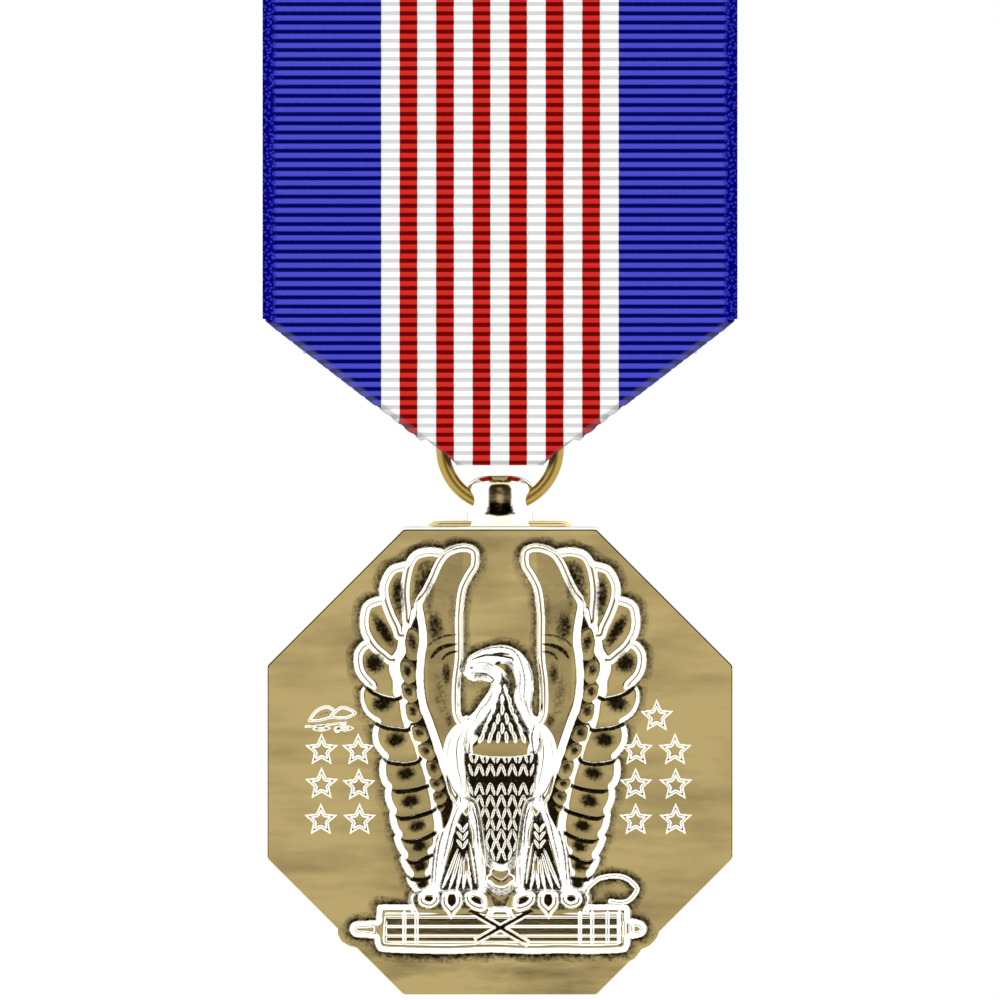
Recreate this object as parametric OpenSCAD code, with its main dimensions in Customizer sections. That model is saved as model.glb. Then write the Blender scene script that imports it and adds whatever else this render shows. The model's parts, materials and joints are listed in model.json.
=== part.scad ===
// Service medal: an octagonal struck medallion that hangs by a lug and a jump ring from a folded
// ribbon, which is clamped in a brooch with a hinged pin and a turning safety catch.
// Millimetres. X runs along the brooch pin to its tip, +Z is up, and the medal faces -Y.
// The origin is on the axis of the closed pin, half way across the ribbon.

/* [Ribbon] */
// Width of the woven ribbon
ribbon_w = 35; // [29:0.5:44]
// Drop from the pin's axis to the shoulders where the taper starts
drape_straight = 27.6; // [23:0.1:40]
// Height of the tapered tip under the shoulders
drape_taper = 10.7; // [8.9:0.1:13]
// Thickness of one layer of cloth
cloth_t = 0.4; // [0.3:0.05:0.5]
// Thickness of the card stiffener inside the ribbon
stiffener_t = 0.44; // [0.3:0.02:0.6]

/* [Ring] */
// Radius of the jump ring, to the middle of its wire
ring_r = 4.22; // [3.5:0.01:5.1]
// Diameter of the jump ring's wire
ring_wire = 0.98; // [0.8:0.02:1.2]

/* [Lug] */
// Length of the lug's barrel along the ring
lug_w = 4.57; // [3.8:0.05:5.5]
// Wall of the barrel around its bore
lug_wall = 0.9; // [0.7:0.05:1.1]
// Length of the foot brazed to the medallion's top edge
foot_w = 10.6; // [8.8:0.1:12.8]
// Thickness of the foot
foot_t = 0.4; // [0.3:0.05:0.5]

/* [Medallion] */
// Distance across the octagon's flats
medal_w = 34.8; // [28.9:0.1:42]
// Thickness of the struck disc without its relief
medal_t = 2.4; // [2:0.1:3]
// Bevel around the disc's edge
edge_bevel = 0.2; // [0.1:0.05:0.3]
// Height of the eagle's body over the field
relief_h = 0.85; // [0.6:0.05:1]

/* [Brooch] */
// Width of the brooch's bar
bar_w = 34; // [28:0.5:43]
// Height of the brooch's bar
bar_h = 8.6; // [7.4:0.1:10.4]
// Thickness of the bar
bar_t = 0.5; // [0.4:0.05:0.6]
// Thickness of the back plate
plate_t = 0.6; // [0.5:0.05:0.7]
// Gap from the back plate to the pin's axis
pin_standoff = 2.2; // [1.9:0.05:2.6]
// Diameter of the pin's stem
pin_d = 0.9; // [0.75:0.05:1.05]
// Distance from the pin's hinge to the middle of its catch
pin_reach = 25.7; // [21.5:0.1:26]

/* [Hidden] */
$fn = 48;
eps = 0.01;
gold = [0.85, 0.70, 0.36];
bronze = [0.72, 0.58, 0.27];
brass = [0.80, 0.66, 0.34];
steel = [0.75, 0.75, 0.77];
ribbon_blue = [0.14, 0.14, 0.62];
card = [0.90, 0.88, 0.82];
thread = [0.90, 0.90, 0.92];

// Layers of the brooch, counted forward from the pin's axis.
y_plate_back = -pin_standoff;
y_plate_front = y_plate_back - plate_t;
y_bar_back = y_plate_front - cloth_t;
y_bar_front = y_bar_back - bar_t;
y_front = y_bar_front - cloth_t;

// Heights, from the top down.
z_bar_top = bar_h / 2;
tuck_h = 2.4;
z_header_bottom = -bar_h / 2 - 0.1;
top_depth = y_plate_front - y_front;
hinge_r = top_depth / 2;
hinge_gap = 0.15;
z_hinge = z_header_bottom - hinge_gap - hinge_r;
y_hinge = (y_front + y_plate_front) / 2;
z_shoulder = -drape_straight;
z_fold = z_shoulder - drape_taper;

// The pocket that the ring tilts in.
ring_tilt = 10;
ring_in = ring_r - ring_wire / 2;
ring_out = ring_r + ring_wire / 2;
fold_depth = 0.335 * ring_in;
fold_h = 0.62 * ring_in;
fold_side_gap = 0.18;
fold_w = 2 * sqrt(pow(ring_in, 2) - pow(fold_depth, 2));
core_w = fold_w - 2 * fold_side_gap;
z_ring = z_fold + fold_depth;
z_ring_hinge = z_fold + fold_h + ring_wire / 2 - 0.07;
ring_top_arm = z_ring + ring_out - z_ring_hinge;
pocket_gap = 0.07;
pocket = ring_wire + 2 * (ring_top_arm * sin(ring_tilt) + pocket_gap);
y_ring = y_front + cloth_t + pocket / 2;
y_pocket_back = y_ring + pocket / 2;
z_pocket_top = z_ring + ring_out + 0.8;
y_drape_back_top = y_plate_front;
z_slope_top = z_hinge - 0.8;

// The lug's barrel clears the curve of the wire that runs through it.
lug_gap = 0.12;
ring_sag = ring_r - sqrt(pow(ring_r, 2) - pow(lug_w / 2, 2));
lug_bore_r = (ring_wire + ring_sag) / 2 + lug_gap;
lug_r = lug_bore_r + lug_wall;
z_lug = z_ring - ring_r + ring_sag / 2;
z_medal_top = z_lug - lug_r;
z_medal = z_medal_top - medal_w / 2;
y_face = y_ring - medal_t / 2;
y_reverse = y_ring + medal_t / 2;
neck_d = medal_t - 2 * edge_bevel - 0.1;

// The pin, its joint and its catch.
pin_r = pin_d / 2;
x_joint = -13.2;
x_catch = x_joint + pin_reach;
foot_plate_t = 0.5;
y_foot = y_plate_back + foot_plate_t;
eye_r = 2 * pin_r;
eye_t = pin_d;
ear_t = 0.45;
ear_gap = 0.05;
ear_r = eye_r + 0.15;
joint_w = 2 * (eye_t / 2 + ear_gap + ear_t);
rivet_r = 0.3;
rivet_play = 0.04;
tip_r = 0.62 * pin_r;
tip_cone = 1.6;
catch_len = 2.6;
rotor_lip = 0.7;
rotor_bore_r = tip_r + 0.12;
rotor_r = rotor_bore_r + 0.6;
rotor_slot = 2 * tip_r + 0.26;
housing_gap = 0.05;
housing_r = rotor_r + housing_gap + 0.42;
housing_slot = rotor_slot + 0.2;
lever_r = 2.5;
stem_start = x_joint + ear_r + 0.4;
stem_end = x_catch - catch_len / 2 - 1.4;
stem_taper = 0.9;
tip_end = x_catch + catch_len / 2 + rotor_lip + 0.25;
foot_plate_w = 3.2;
foot_plate_h = 3.9;
brooch_rivet_r = 0.28;
brooch_rivet_z = foot_plate_h / 2 - 0.5;
brooch_rivet_head_r = 0.42;
brooch_rivet_head_t = 0.22;

// Relief, in the medal's own plane: x to the right and y up from the octagon's middle.
relief_scale = medal_w / 34.8;
feather_h = 0.5;
covert_h = 0.62;
star_h = 0.22;
star_r = 1.25;
sink = 0.1;
// Outer feathers of one wing, from the top down: [root, tip, half width].
primaries = [
    [[-6.3, 10.6], [-5.5, 15.6], 1.15], [[-7.1, 8.9], [-8.2, 14.0], 1.2],
    [[-7.5, 7.4], [-9.8, 11.4], 1.15], [[-7.2, 5.2], [-10.4, 7.7], 1.15],
    [[-6.6, 3.4], [-9.9, 4.8], 1.1], [[-5.9, 1.2], [-9.0, 2.0], 1.1],
    [[-5.2, -1.2], [-8.6, -0.6], 1.0], [[-4.6, -3.0], [-8.2, -2.6], 0.95],
    [[-4.2, -4.8], [-7.8, -4.5], 0.9], [[-4.0, -6.4], [-7.3, -6.2], 0.85],
    [[-3.9, -7.9], [-6.9, -7.7], 0.8], [[-3.8, -9.3], [-6.4, -9.1], 0.7]];
// Small feathers between the arm and the outer feathers.
coverts = [
    [[-5.8, 8.9], [-6.2, 7.4], 0.75], [[-5.7, 7.0], [-6.7, 5.7], 0.75],
    [[-5.5, 5.1], [-6.5, 3.7], 0.75], [[-4.9, 3.2], [-5.9, 1.9], 0.7],
    [[-4.2, 1.3], [-5.2, 0.1], 0.7], [[-3.6, -0.7], [-4.7, -1.7], 0.65],
    [[-3.3, -2.5], [-4.4, -3.4], 0.6], [[-3.1, -4.2], [-4.1, -4.9], 0.55]];
wing_arm = [[-2.3, 15.8], [-1.7, 15.1], [-2.2, 13.8], [-3.0, 12.7], [-3.2, 10.0], [-2.9, 8.7],
            [-3.4, 7.4], [-3.4, 5.8], [-2.6, 3.4], [-4.2, 1.2], [-5.4, 2.6], [-6.0, 5.6],
            [-5.7, 8.2], [-6.1, 10.9], [-5.2, 13.0], [-4.2, 15.2], [-3.2, 15.9]];
head_outline = [[-0.1, 8.0], [-1.4, 7.7], [-2.4, 7.2], [-2.6, 6.5], [-2.3, 6.0], [-1.3, 6.1],
                [-0.8, 5.5], [-1.5, 4.0], [-3.0, 2.6], [2.9, 2.6], [2.2, 4.2], [1.9, 6.6],
                [1.1, 7.8]];
axe_outline = [[7.9, -9.0], [7.6, -8.2], [8.4, -8.3], [9.6, -8.9], [10.2, -9.6], [9.9, -10.4],
               [8.8, -10.9], [8.0, -11.0], [6.9, -10.6], [6.7, -9.8]];
shield_outline = [[-5.2, 6.4], [0, 6.9], [5.2, 6.4], [5.3, 1.6], [4.4, -1.4], [2.4, -3.9],
                  [0, -5.2], [-2.4, -3.9], [-4.4, -1.4], [-5.3, 1.6]];
star_rows = [1.3, -1.35, -4.0];
star_columns = [-13.0, -10.3];
fasces_y = -12.15;
fasces_w = 17.6;
fasces_rods = 5;
rod_r = 0.5;

// ---- helpers ----

// A rod along X between two places, centred on y and z.
module rod_x(x0, x1, r, y = 0, z = 0) {
    translate([x0, y, z]) rotate([0, 90, 0]) cylinder(r = r, h = x1 - x0);
}

// A flat shape drawn in X and Z, made solid from y0 to y1.
module slab_y(y0, y1) {
    translate([0, y1, 0]) rotate([90, 0, 0]) linear_extrude(y1 - y0) children();
}

// A flat shape drawn in Y and Z, made solid across a width centred on x.
module slab_x(w, x = 0) {
    translate([x - w / 2, 0, 0]) rotate([90, 0, 90]) linear_extrude(w) children();
}

// A box given by its lowest and highest corners.
module span(low, high) {
    translate(low) cube(high - low);
}

// The outline of the hanging ribbon, cut off at a top height, drawn in by an inset.
module drape_outline(top, inset = 0) {
    side = ribbon_w / 2 - inset;
    run = ribbon_w / 2 - fold_w / 2;
    drop = inset * (sqrt(pow(run, 2) + pow(drape_taper, 2)) - drape_taper) / run;
    polygon([[-side, top], [side, top], [side, z_shoulder + drop], [fold_w / 2, z_fold + inset],
             [-fold_w / 2, z_fold + inset], [-side, z_shoulder + drop]]);
}

// One feather in the plane of the relief: a tapered blade with a round end.
module feather(f, root_share = 0.6) {
    d = f[1] - f[0];
    w = f[2];
    length = norm(d) - w;
    translate(f[0]) rotate(atan2(d[1], d[0])) {
        polygon([[0, -root_share * w], [length, -w], [length, w], [0, root_share * w]]);
        translate([length, 0]) circle(w, $fn = 24);
    }
}

function star_points(r, inner = 0.42) =
    [for (i = [0:9]) let (a = 90 + 36 * i, q = i % 2 == 0 ? r : inner * r) [q * cos(a), q * sin(a)]];

function ellipse_points(rx, ry, n = 28) =
    [for (i = [0:n - 1]) [rx * cos(360 * i / n), ry * sin(360 * i / n)]];

// A raised flat shape on the obverse.
module obverse(h) {
    translate([0, y_face + sink, z_medal]) rotate([90, 0, 0]) linear_extrude(h + sink)
        scale(relief_scale) children();
}

// A raised flat shape on the reverse, seen the right way round from behind.
module reverse(h) {
    translate([0, y_reverse - sink, z_medal]) rotate([90, 0, 180]) linear_extrude(h + sink)
        scale(relief_scale) children();
}

module both_sides() {
    children();
    mirror([1, 0]) children();
}

// ---- medallion and its suspension ----

// The bevelled octagonal disc, as the common part of four bevelled bars.
module disc() {
    h = medal_w / 2;
    t = medal_t / 2;
    b = edge_bevel;
    translate([0, y_ring, z_medal]) intersection_for(a = [0, 45, 90, 135])
        rotate([0, a, 0]) translate([0, 0, -medal_w]) linear_extrude(2 * medal_w)
            polygon([[-h, -t + b], [-h + b, -t], [h - b, -t], [h, -t + b],
                     [h, t - b], [h - b, t], [-h + b, t], [-h, t - b]]);
}

module wing_relief() {
    obverse(feather_h) both_sides() for (f = primaries) feather(f);
    obverse(covert_h) both_sides() for (f = coverts) feather(f);
    obverse(feather_h + 0.18) both_sides() polygon(wing_arm);
}

module eagle_relief() {
    obverse(relief_h) polygon(head_outline);
    obverse(relief_h) translate([0, 0.2]) polygon(ellipse_points(3.4, 4.0));
    obverse(relief_h - 0.1) translate([0, -4.2]) polygon(ellipse_points(2.2, 4.6));
    obverse(relief_h - 0.02) both_sides() translate([-2.45, -6.1]) rotate(-4)
        polygon(ellipse_points(1.75, 4.3));
    obverse(0.6) both_sides() for (x = [-3.7, -2.4, -1.1]) translate([x, -10.6]) circle(0.6, $fn = 24);
}

module fasces_relief() {
    pitch = 2 * rod_r * 0.86;
    for (i = [0:fasces_rods - 1])
        rod_x(-fasces_w / 2 * relief_scale, fasces_w / 2 * relief_scale, rod_r * relief_scale, y_face,
              z_medal + (fasces_y + (i - (fasces_rods - 1) / 2) * pitch) * relief_scale);
    rod_x(-10.6 * relief_scale, 10.6 * relief_scale, 0.55 * relief_scale, y_face,
          z_medal + fasces_y * relief_scale);
    obverse(0.6) for (x = [-6.3, 6.3]) translate([x - 0.45, fasces_y - 2.1]) square([0.9, 4.2]);
    obverse(0.35) polygon(axe_outline);
}

module star_relief() {
    obverse(star_h) {
        for (x = star_columns, y = star_rows) both_sides() translate([x, y]) polygon(star_points(star_r));
        translate([11.7, 3.6]) polygon(star_points(star_r));
    }
    obverse(0.25) for (leaf = [[-12.9, 3.7, 1.7, 200], [-11.6, 3.9, 1.3, 20], [-12.6, 3.1, 1.4, 185]])
        translate([leaf[0], leaf[1]]) rotate(leaf[3]) polygon(ellipse_points(leaf[2], 0.42, 16));
}

module reverse_relief() {
    reverse(0.35) polygon(shield_outline);
    reverse(0.45) translate([-5.3, 3.6]) square([10.6, 2.4]);
    for (side = [-1, 1], i = [0:5])
        reverse(0.3) translate([side * (6.6 + 0.5 * sin(30 * i)), -3.6 + 1.7 * i])
            rotate(90 - side * 35) polygon(ellipse_points(1.1, 0.42, 16));
    reverse(0.25) translate([-5.6, -11.4]) square([11.2, 3.4]);
}

module medallion() {
    color(gold) {
        disc();
        wing_relief();
        eagle_relief();
        fasces_relief();
        star_relief();
        reverse_relief();
    }
}

// A rounded barrel on a neck with a flat foot, bored for the ring.
module suspension_lug() {
    corner = 0.75;
    half = lug_w / 2;
    color(gold) difference() {
        union() {
            translate([0, y_ring, z_lug]) rotate([0, 90, 0]) rotate_extrude() {
                translate([0, -half]) square([lug_r - corner, lug_w]);
                translate([0, -half + corner]) square([lug_r, lug_w - 2 * corner]);
                for (s = [-1, 1]) translate([lug_r - corner, s * (half - corner)]) circle(corner, $fn = 32);
            }
            span([-half, y_ring - neck_d / 2, z_medal_top], [half, y_ring + neck_d / 2, z_lug]);
            slab_y(y_ring - neck_d / 2, y_ring + neck_d / 2)
                polygon([[-foot_w / 2, z_medal_top], [foot_w / 2, z_medal_top],
                         [foot_w / 2 - 0.6, z_medal_top + foot_t], [half + 0.35, z_medal_top + foot_t],
                         [half, z_medal_top + 2 * foot_t], [-half, z_medal_top + 2 * foot_t],
                         [-half - 0.35, z_medal_top + foot_t], [-foot_w / 2 + 0.6, z_medal_top + foot_t]]);
        }
        rod_x(-half - 1, half + 1, lug_bore_r, y_ring, z_lug);
        span([-half - 1, y_ring - 3, z_medal_top - 3], [half + 1, y_ring + 3, z_medal_top]);
    }
}

// A jump ring with its butted joint at the top, inside the ribbon.
module suspension_ring() {
    joint_angle = 1.2;
    color(bronze) translate([0, y_ring, z_ring]) rotate([90, 0, 0]) rotate([0, 0, 90 + joint_angle / 2])
        rotate_extrude(angle = 360 - joint_angle, $fn = 96) translate([ring_r, 0]) circle(ring_wire / 2, $fn = 32);
}

// ---- ribbon ----

// Two layers of cloth that part around the ring's pocket and join in the fold.
module ribbon_drape() {
    color(ribbon_blue) {
        intersection() {
            slab_y(y_front - 1, y_pocket_back + cloth_t + 1) drape_outline(z_hinge);
            slab_x(ribbon_w + 2) {
                polygon([[y_front, z_hinge], [y_front + cloth_t, z_hinge],
                         [y_front + cloth_t, z_fold], [y_front, z_fold]]);
                polygon([[y_drape_back_top - cloth_t, z_hinge], [y_drape_back_top, z_hinge],
                         [y_drape_back_top, z_slope_top], [y_pocket_back + cloth_t, z_pocket_top],
                         [y_pocket_back + cloth_t, z_fold], [y_pocket_back, z_fold],
                         [y_pocket_back, z_pocket_top], [y_drape_back_top - cloth_t, z_slope_top]]);
            }
        }
        rod_x(-ribbon_w / 2, ribbon_w / 2, hinge_r, y_hinge, z_hinge);
        span([-core_w / 2, y_front + cloth_t - eps, z_fold],
             [core_w / 2, y_pocket_back + eps, z_fold + fold_h]);
    }
}

// The cloth wrapped over the bar's top edge, and the end of the back layer, clamped by the plate.
module ribbon_header() {
    wrap = z_bar_top + cloth_t;
    color(ribbon_blue) slab_x(ribbon_w) {
        polygon([[y_front, z_header_bottom], [y_bar_front, z_header_bottom], [y_bar_front, z_bar_top],
                 [y_bar_back, z_bar_top], [y_bar_back, z_bar_top - tuck_h],
                 [y_plate_front, z_bar_top - tuck_h], [y_plate_front, wrap - 0.3],
                 [y_plate_front - 0.3, wrap], [y_front + 0.3, wrap], [y_front, wrap - 0.3]]);
        polygon([[y_bar_back, z_header_bottom], [y_plate_front, z_header_bottom],
                 [y_plate_front, -z_bar_top + tuck_h], [y_bar_back, -z_bar_top + tuck_h]]);
    }
}

module ribbon_stiffener() {
    inset = 0.9;
    y0 = y_front + cloth_t + 0.03;
    top = z_hinge - hinge_r - 0.05;
    color(card) intersection() {
        slab_y(y0, y0 + min(stiffener_t, top_depth - 2 * cloth_t - 0.06)) drape_outline(top, inset);
        span([-ribbon_w, y_front - 1, z_pocket_top + 0.1], [ribbon_w, y_pocket_back + 1, 0]);
    }
}

// A row of thread across the back layer, pressed a little into the cloth.
module back_stitches() {
    thread_r = 0.14;
    stitch = 1.5;
    pitch = 2.3;
    count = floor((ribbon_w - 4) / pitch);
    z_row = z_pocket_top + 1.6;
    lean = (y_pocket_back + cloth_t - y_drape_back_top) / (z_slope_top - z_pocket_top);
    y_row = y_pocket_back + cloth_t - lean * (z_row - z_pocket_top) + 0.85 * thread_r;
    color(thread) for (i = [0:count - 1]) {
        x = (i - (count - 1) / 2) * pitch;
        rod_x(x - stitch / 2, x + stitch / 2, thread_r, y_row, z_row);
    }
}

// ---- brooch ----

// Rows of holes or shanks for the rivets that hold the joint and the catch.
module at_brooch_rivets() {
    for (x = [x_joint - 0.2, x_catch], z = [-brooch_rivet_z, brooch_rivet_z])
        translate([x, 0, z]) rotate([90, 0, 0]) children();
}

module rivet_holes() {
    at_brooch_rivets() translate([0, 0, 0]) cylinder(r = brooch_rivet_r, h = 10, $fn = 32);
}

module brooch_bar() {
    color(brass) difference() {
        span([-bar_w / 2, y_bar_front, -bar_h / 2], [bar_w / 2, y_bar_back, bar_h / 2]);
        rivet_holes();
    }
}

// A pressed plate: its raised middle meets the bar and its edges clamp the ribbon's two ends.
module brooch_back_plate() {
    pad = bar_h / 2 - tuck_h - 0.15;
    edge = bar_h / 2 - 0.2;
    round_end = 1.2;
    color(brass) difference() {
        intersection() {
            slab_x(bar_w - 0.6)
                polygon([[y_plate_back, -edge], [y_plate_back, edge], [y_plate_front, edge],
                         [y_plate_front, pad], [y_bar_back, pad], [y_bar_back, -pad],
                         [y_plate_front, -pad], [y_plate_front, -edge]]);
            slab_y(y_bar_back - 1, y_plate_back + 1) {
                square([bar_w - 0.6 - 2 * round_end, 2 * edge], center = true);
                square([bar_w - 0.6, 2 * edge - 2 * round_end], center = true);
                for (sx = [-1, 1], sz = [-1, 1])
                    translate([sx * (bar_w / 2 - 0.3 - round_end), sz * (edge - round_end)]) circle(round_end);
            }
        }
        rivet_holes();
    }
}

module brooch_rivets() {
    color(brass) at_brooch_rivets() {
        translate([0, 0, -y_foot]) cylinder(r = brooch_rivet_r, h = y_foot - y_bar_front, $fn = 32);
        translate([0, 0, -y_foot - brooch_rivet_head_t])
            cylinder(r1 = 0.6 * brooch_rivet_head_r, r2 = brooch_rivet_head_r, h = brooch_rivet_head_t, $fn = 32);
    }
}

module foot_plate(x, w) {
    difference() {
        span([x - w / 2, y_plate_back, -foot_plate_h / 2], [x + w / 2, y_foot, foot_plate_h / 2]);
        rivet_holes();
    }
}

// A folded bracket whose two ears hold the pin's eye.
module pin_joint() {
    color(brass) {
        foot_plate(x_joint, foot_plate_w);
        for (s = [-1, 1]) translate([x_joint, 0, s * (joint_w / 2 - ear_t / 2)]) difference() {
            union() {
                cylinder(r = ear_r, h = ear_t, center = true);
                translate([-ear_r, y_foot - eps, -ear_t / 2]) cube([2 * ear_r, -y_foot + eps, ear_t]);
            }
            cylinder(r = rivet_r, h = 2, center = true);
        }
    }
}

module joint_rivet() {
    color(steel) translate([x_joint, 0, 0]) {
        cylinder(r = rivet_r, h = joint_w, center = true);
        for (s = [-1, 1]) translate([0, 0, s * (joint_w / 2 + 0.11)])
            cylinder(r = 1.7 * rivet_r, h = 0.22, center = true);
    }
}

// The hinged pin: an eye, a straight stem, and a slimmer ground tip that lies in the catch.
module pin_stem() {
    color(brass) difference() {
        union() {
            translate([x_joint, 0, 0]) cylinder(r = eye_r, h = eye_t, center = true);
            translate([x_joint, 0, 0]) rotate([0, 90, 0])
                cylinder(r1 = pin_r, r2 = 0.9 * pin_r, h = stem_start - x_joint);
            rod_x(stem_start, stem_end, pin_r);
            translate([stem_end, 0, 0]) rotate([0, 90, 0]) cylinder(r1 = pin_r, r2 = tip_r, h = stem_taper);
            rod_x(stem_end + stem_taper, tip_end, tip_r);
            translate([tip_end, 0, 0]) rotate([0, 90, 0]) cylinder(r1 = tip_r, r2 = 0.06, h = tip_cone);
        }
        translate([x_joint, 0, 0]) cylinder(r = rivet_r + rivet_play, h = 4, center = true);
    }
}

// A slot that opens backward from the pin's axis.
module slot_back(x0, x1, w) {
    span([x0, 0, -w / 2], [x1, 5, w / 2]);
}

module catch_housing() {
    x0 = x_catch - catch_len / 2;
    x1 = x_catch + catch_len / 2;
    color(brass) {
        foot_plate(x_catch, catch_len);
        difference() {
            union() {
                rod_x(x0, x1, housing_r);
                span([x0, y_foot - eps, -0.9], [x1, 0, 0.9]);
            }
            rod_x(x0 - 1, x1 + 1, rotor_r + housing_gap);
            slot_back(x0 - 1, x1 + 1, housing_slot);
        }
    }
}

// The turning sleeve that closes over the pin, with a thumb lever on its outer lip.
module catch_rotor() {
    x0 = x_catch - catch_len / 2;
    x1 = x_catch + catch_len / 2 + 0.05;
    lever_angle = 75;
    color(brass) difference() {
        union() {
            rod_x(x0, x1, rotor_r);
            rod_x(x1 - eps, x1 + rotor_lip, housing_r);
            rotate([-lever_angle, 0, 0])
                span([x1, rotor_bore_r + 0.15, -0.45], [x1 + rotor_lip, lever_r - 0.45, 0.45]);
            rotate([-lever_angle, 0, 0]) rod_x(x1, x1 + rotor_lip, 0.45, lever_r - 0.45);
        }
        rod_x(x0 - 1, x1 + 3, rotor_bore_r);
        slot_back(x0 - 1, x1 + 3, rotor_slot);
    }
}

medallion();
suspension_lug();
suspension_ring();
ribbon_drape();
ribbon_header();
ribbon_stiffener();
back_stitches();
brooch_bar();
brooch_back_plate();
brooch_rivets();
pin_joint();
joint_rivet();
pin_stem();
catch_housing();
catch_rotor();
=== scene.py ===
"""Looks of an octagonal service medal on a pointed striped ribbon.

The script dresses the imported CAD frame. It works in millimetres in the part's own frame (X to the right,
Z up, the obverse facing -Y) and turns them into metres where a mesh is made. The struck relief is drawn in
the medal's own plane: u to the right and v up from the octagon's middle, height towards the viewer.
"""

import json
import logging
import math
from dataclasses import dataclass, field
from enum import Enum
from typing import Callable, Iterable, Sequence

import bpy
import numpy as np
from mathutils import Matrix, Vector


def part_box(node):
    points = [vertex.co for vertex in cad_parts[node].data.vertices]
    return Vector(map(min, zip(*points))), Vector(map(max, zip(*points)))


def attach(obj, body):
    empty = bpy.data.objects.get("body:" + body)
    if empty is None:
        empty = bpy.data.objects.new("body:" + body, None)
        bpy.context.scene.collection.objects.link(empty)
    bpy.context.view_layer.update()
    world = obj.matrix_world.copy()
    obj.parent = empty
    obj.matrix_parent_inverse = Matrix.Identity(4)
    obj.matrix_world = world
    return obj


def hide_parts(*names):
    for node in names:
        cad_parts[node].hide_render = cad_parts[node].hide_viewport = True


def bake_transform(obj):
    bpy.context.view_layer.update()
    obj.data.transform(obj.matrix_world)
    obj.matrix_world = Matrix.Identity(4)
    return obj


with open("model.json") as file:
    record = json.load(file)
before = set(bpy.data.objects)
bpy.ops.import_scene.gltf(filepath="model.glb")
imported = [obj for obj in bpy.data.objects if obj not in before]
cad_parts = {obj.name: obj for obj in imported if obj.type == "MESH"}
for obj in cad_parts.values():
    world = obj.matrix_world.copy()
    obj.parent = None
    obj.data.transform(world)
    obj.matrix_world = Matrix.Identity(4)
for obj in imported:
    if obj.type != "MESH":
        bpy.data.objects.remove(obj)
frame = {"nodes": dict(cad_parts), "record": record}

logging.basicConfig(level=logging.INFO, format="%(message)s")
LOG = logging.getLogger("medal")

MM = 0.001
Point = tuple[float, float]
Outline = Sequence[Point]


class Body(str, Enum):
    """The CAD bodies that pieces ride on."""

    BROOCH = "brooch"
    DRAPE = "drape"
    RING = "ring"
    MEDAL = "medal"
    PIN = "pin"
    CATCH = "catch"


class Slot(str, Enum):
    """The record's material slots."""

    GOLD = "medal_gold"
    RING = "ring_bronze"
    RIBBON = "ribbon"
    STIFFENER = "stiffener"
    THREAD = "thread"
    BRASS = "brooch_brass"
    STEEL = "pin_steel"


def measured(length: float) -> float:
    """A length of the CAD in millimetres, to the hundredth."""
    return round(length / MM, 2)


@dataclass(frozen=True)
class Frame:
    """Places that the looks share with the CAD, in millimetres.

    Args:
        medal_top: height of the octagon's top edge.
        medal_w: distance across the octagon's flats.
        ring_y: depth of the ring's plane.
        ring_z: height of the ring's middle.
        ring_wire: diameter of the ring's wire.
        ring_r: radius of the wire's middle line.
        lug_z: height of the lug's bore.
        cloth_front: depth of the ribbon's outer front face.
        ribbon_w: width of the ribbon.
        fold_z: height of the ribbon's lowest fold.
        bar_h: height of the brooch's bar.
        medal_t: thickness of the disc between its plain fields.
        lug_bore: radius of the lug's bore.
        shoulder_z: height at which the ribbon starts to narrow.
        fold_w: width of the ribbon's lowest fold.
        pocket_back: depth of the back of the ring's pocket in the ribbon.
    """

    medal_top: float
    medal_w: float
    ring_y: float
    ring_z: float
    ring_wire: float
    ring_r: float
    lug_z: float
    cloth_front: float
    ribbon_w: float
    fold_z: float
    bar_h: float
    medal_t: float = 2.4
    lug_bore: float = 0.946
    shoulder_z: float = -27.6
    fold_w: float = 7.06
    pocket_back: float = -1.46

    @classmethod
    def read(cls) -> "Frame":
        """Reads what it can off the CAD nodes' boxes and the joints.

        Returns:
            The shared places.
        """
        medal_low, medal_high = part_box("medallion")
        ring_low, ring_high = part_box("suspension_ring")
        drape_low, drape_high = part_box("ribbon_drape")
        bar_low, bar_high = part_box("brooch_bar")
        joints = frame["record"]["behaviour"]["joints"]
        swing = next(joint for joint in joints if joint["name"] == "medal_swing")
        wire = measured(ring_high.y - ring_low.y)
        return cls(
            medal_top=measured(medal_high.z),
            medal_w=measured(medal_high.x - medal_low.x),
            ring_y=measured(swing["pos_m"][1]),
            ring_z=measured((ring_low.z + ring_high.z) / 2),
            ring_wire=wire,
            ring_r=measured(ring_high.x - wire * MM / 2),
            lug_z=measured(swing["pos_m"][2]),
            cloth_front=measured(drape_low.y),
            ribbon_w=measured(drape_high.x - drape_low.x),
            fold_z=measured(drape_low.z),
            bar_h=measured(bar_high.z - bar_low.z),
        )

    @property
    def medal_z(self) -> float:
        """Height of the octagon's middle."""
        return self.medal_top - self.medal_w / 2

    @property
    def field_y(self) -> float:
        """Depth of the obverse's plain field."""
        return self.ring_y - self.medal_t / 2

    @property
    def reverse_y(self) -> float:
        """Depth of the reverse's plain field."""
        return self.ring_y + self.medal_t / 2


CAD = Frame.read()


# ---------------------------------------------------------------- curves and fields


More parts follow.
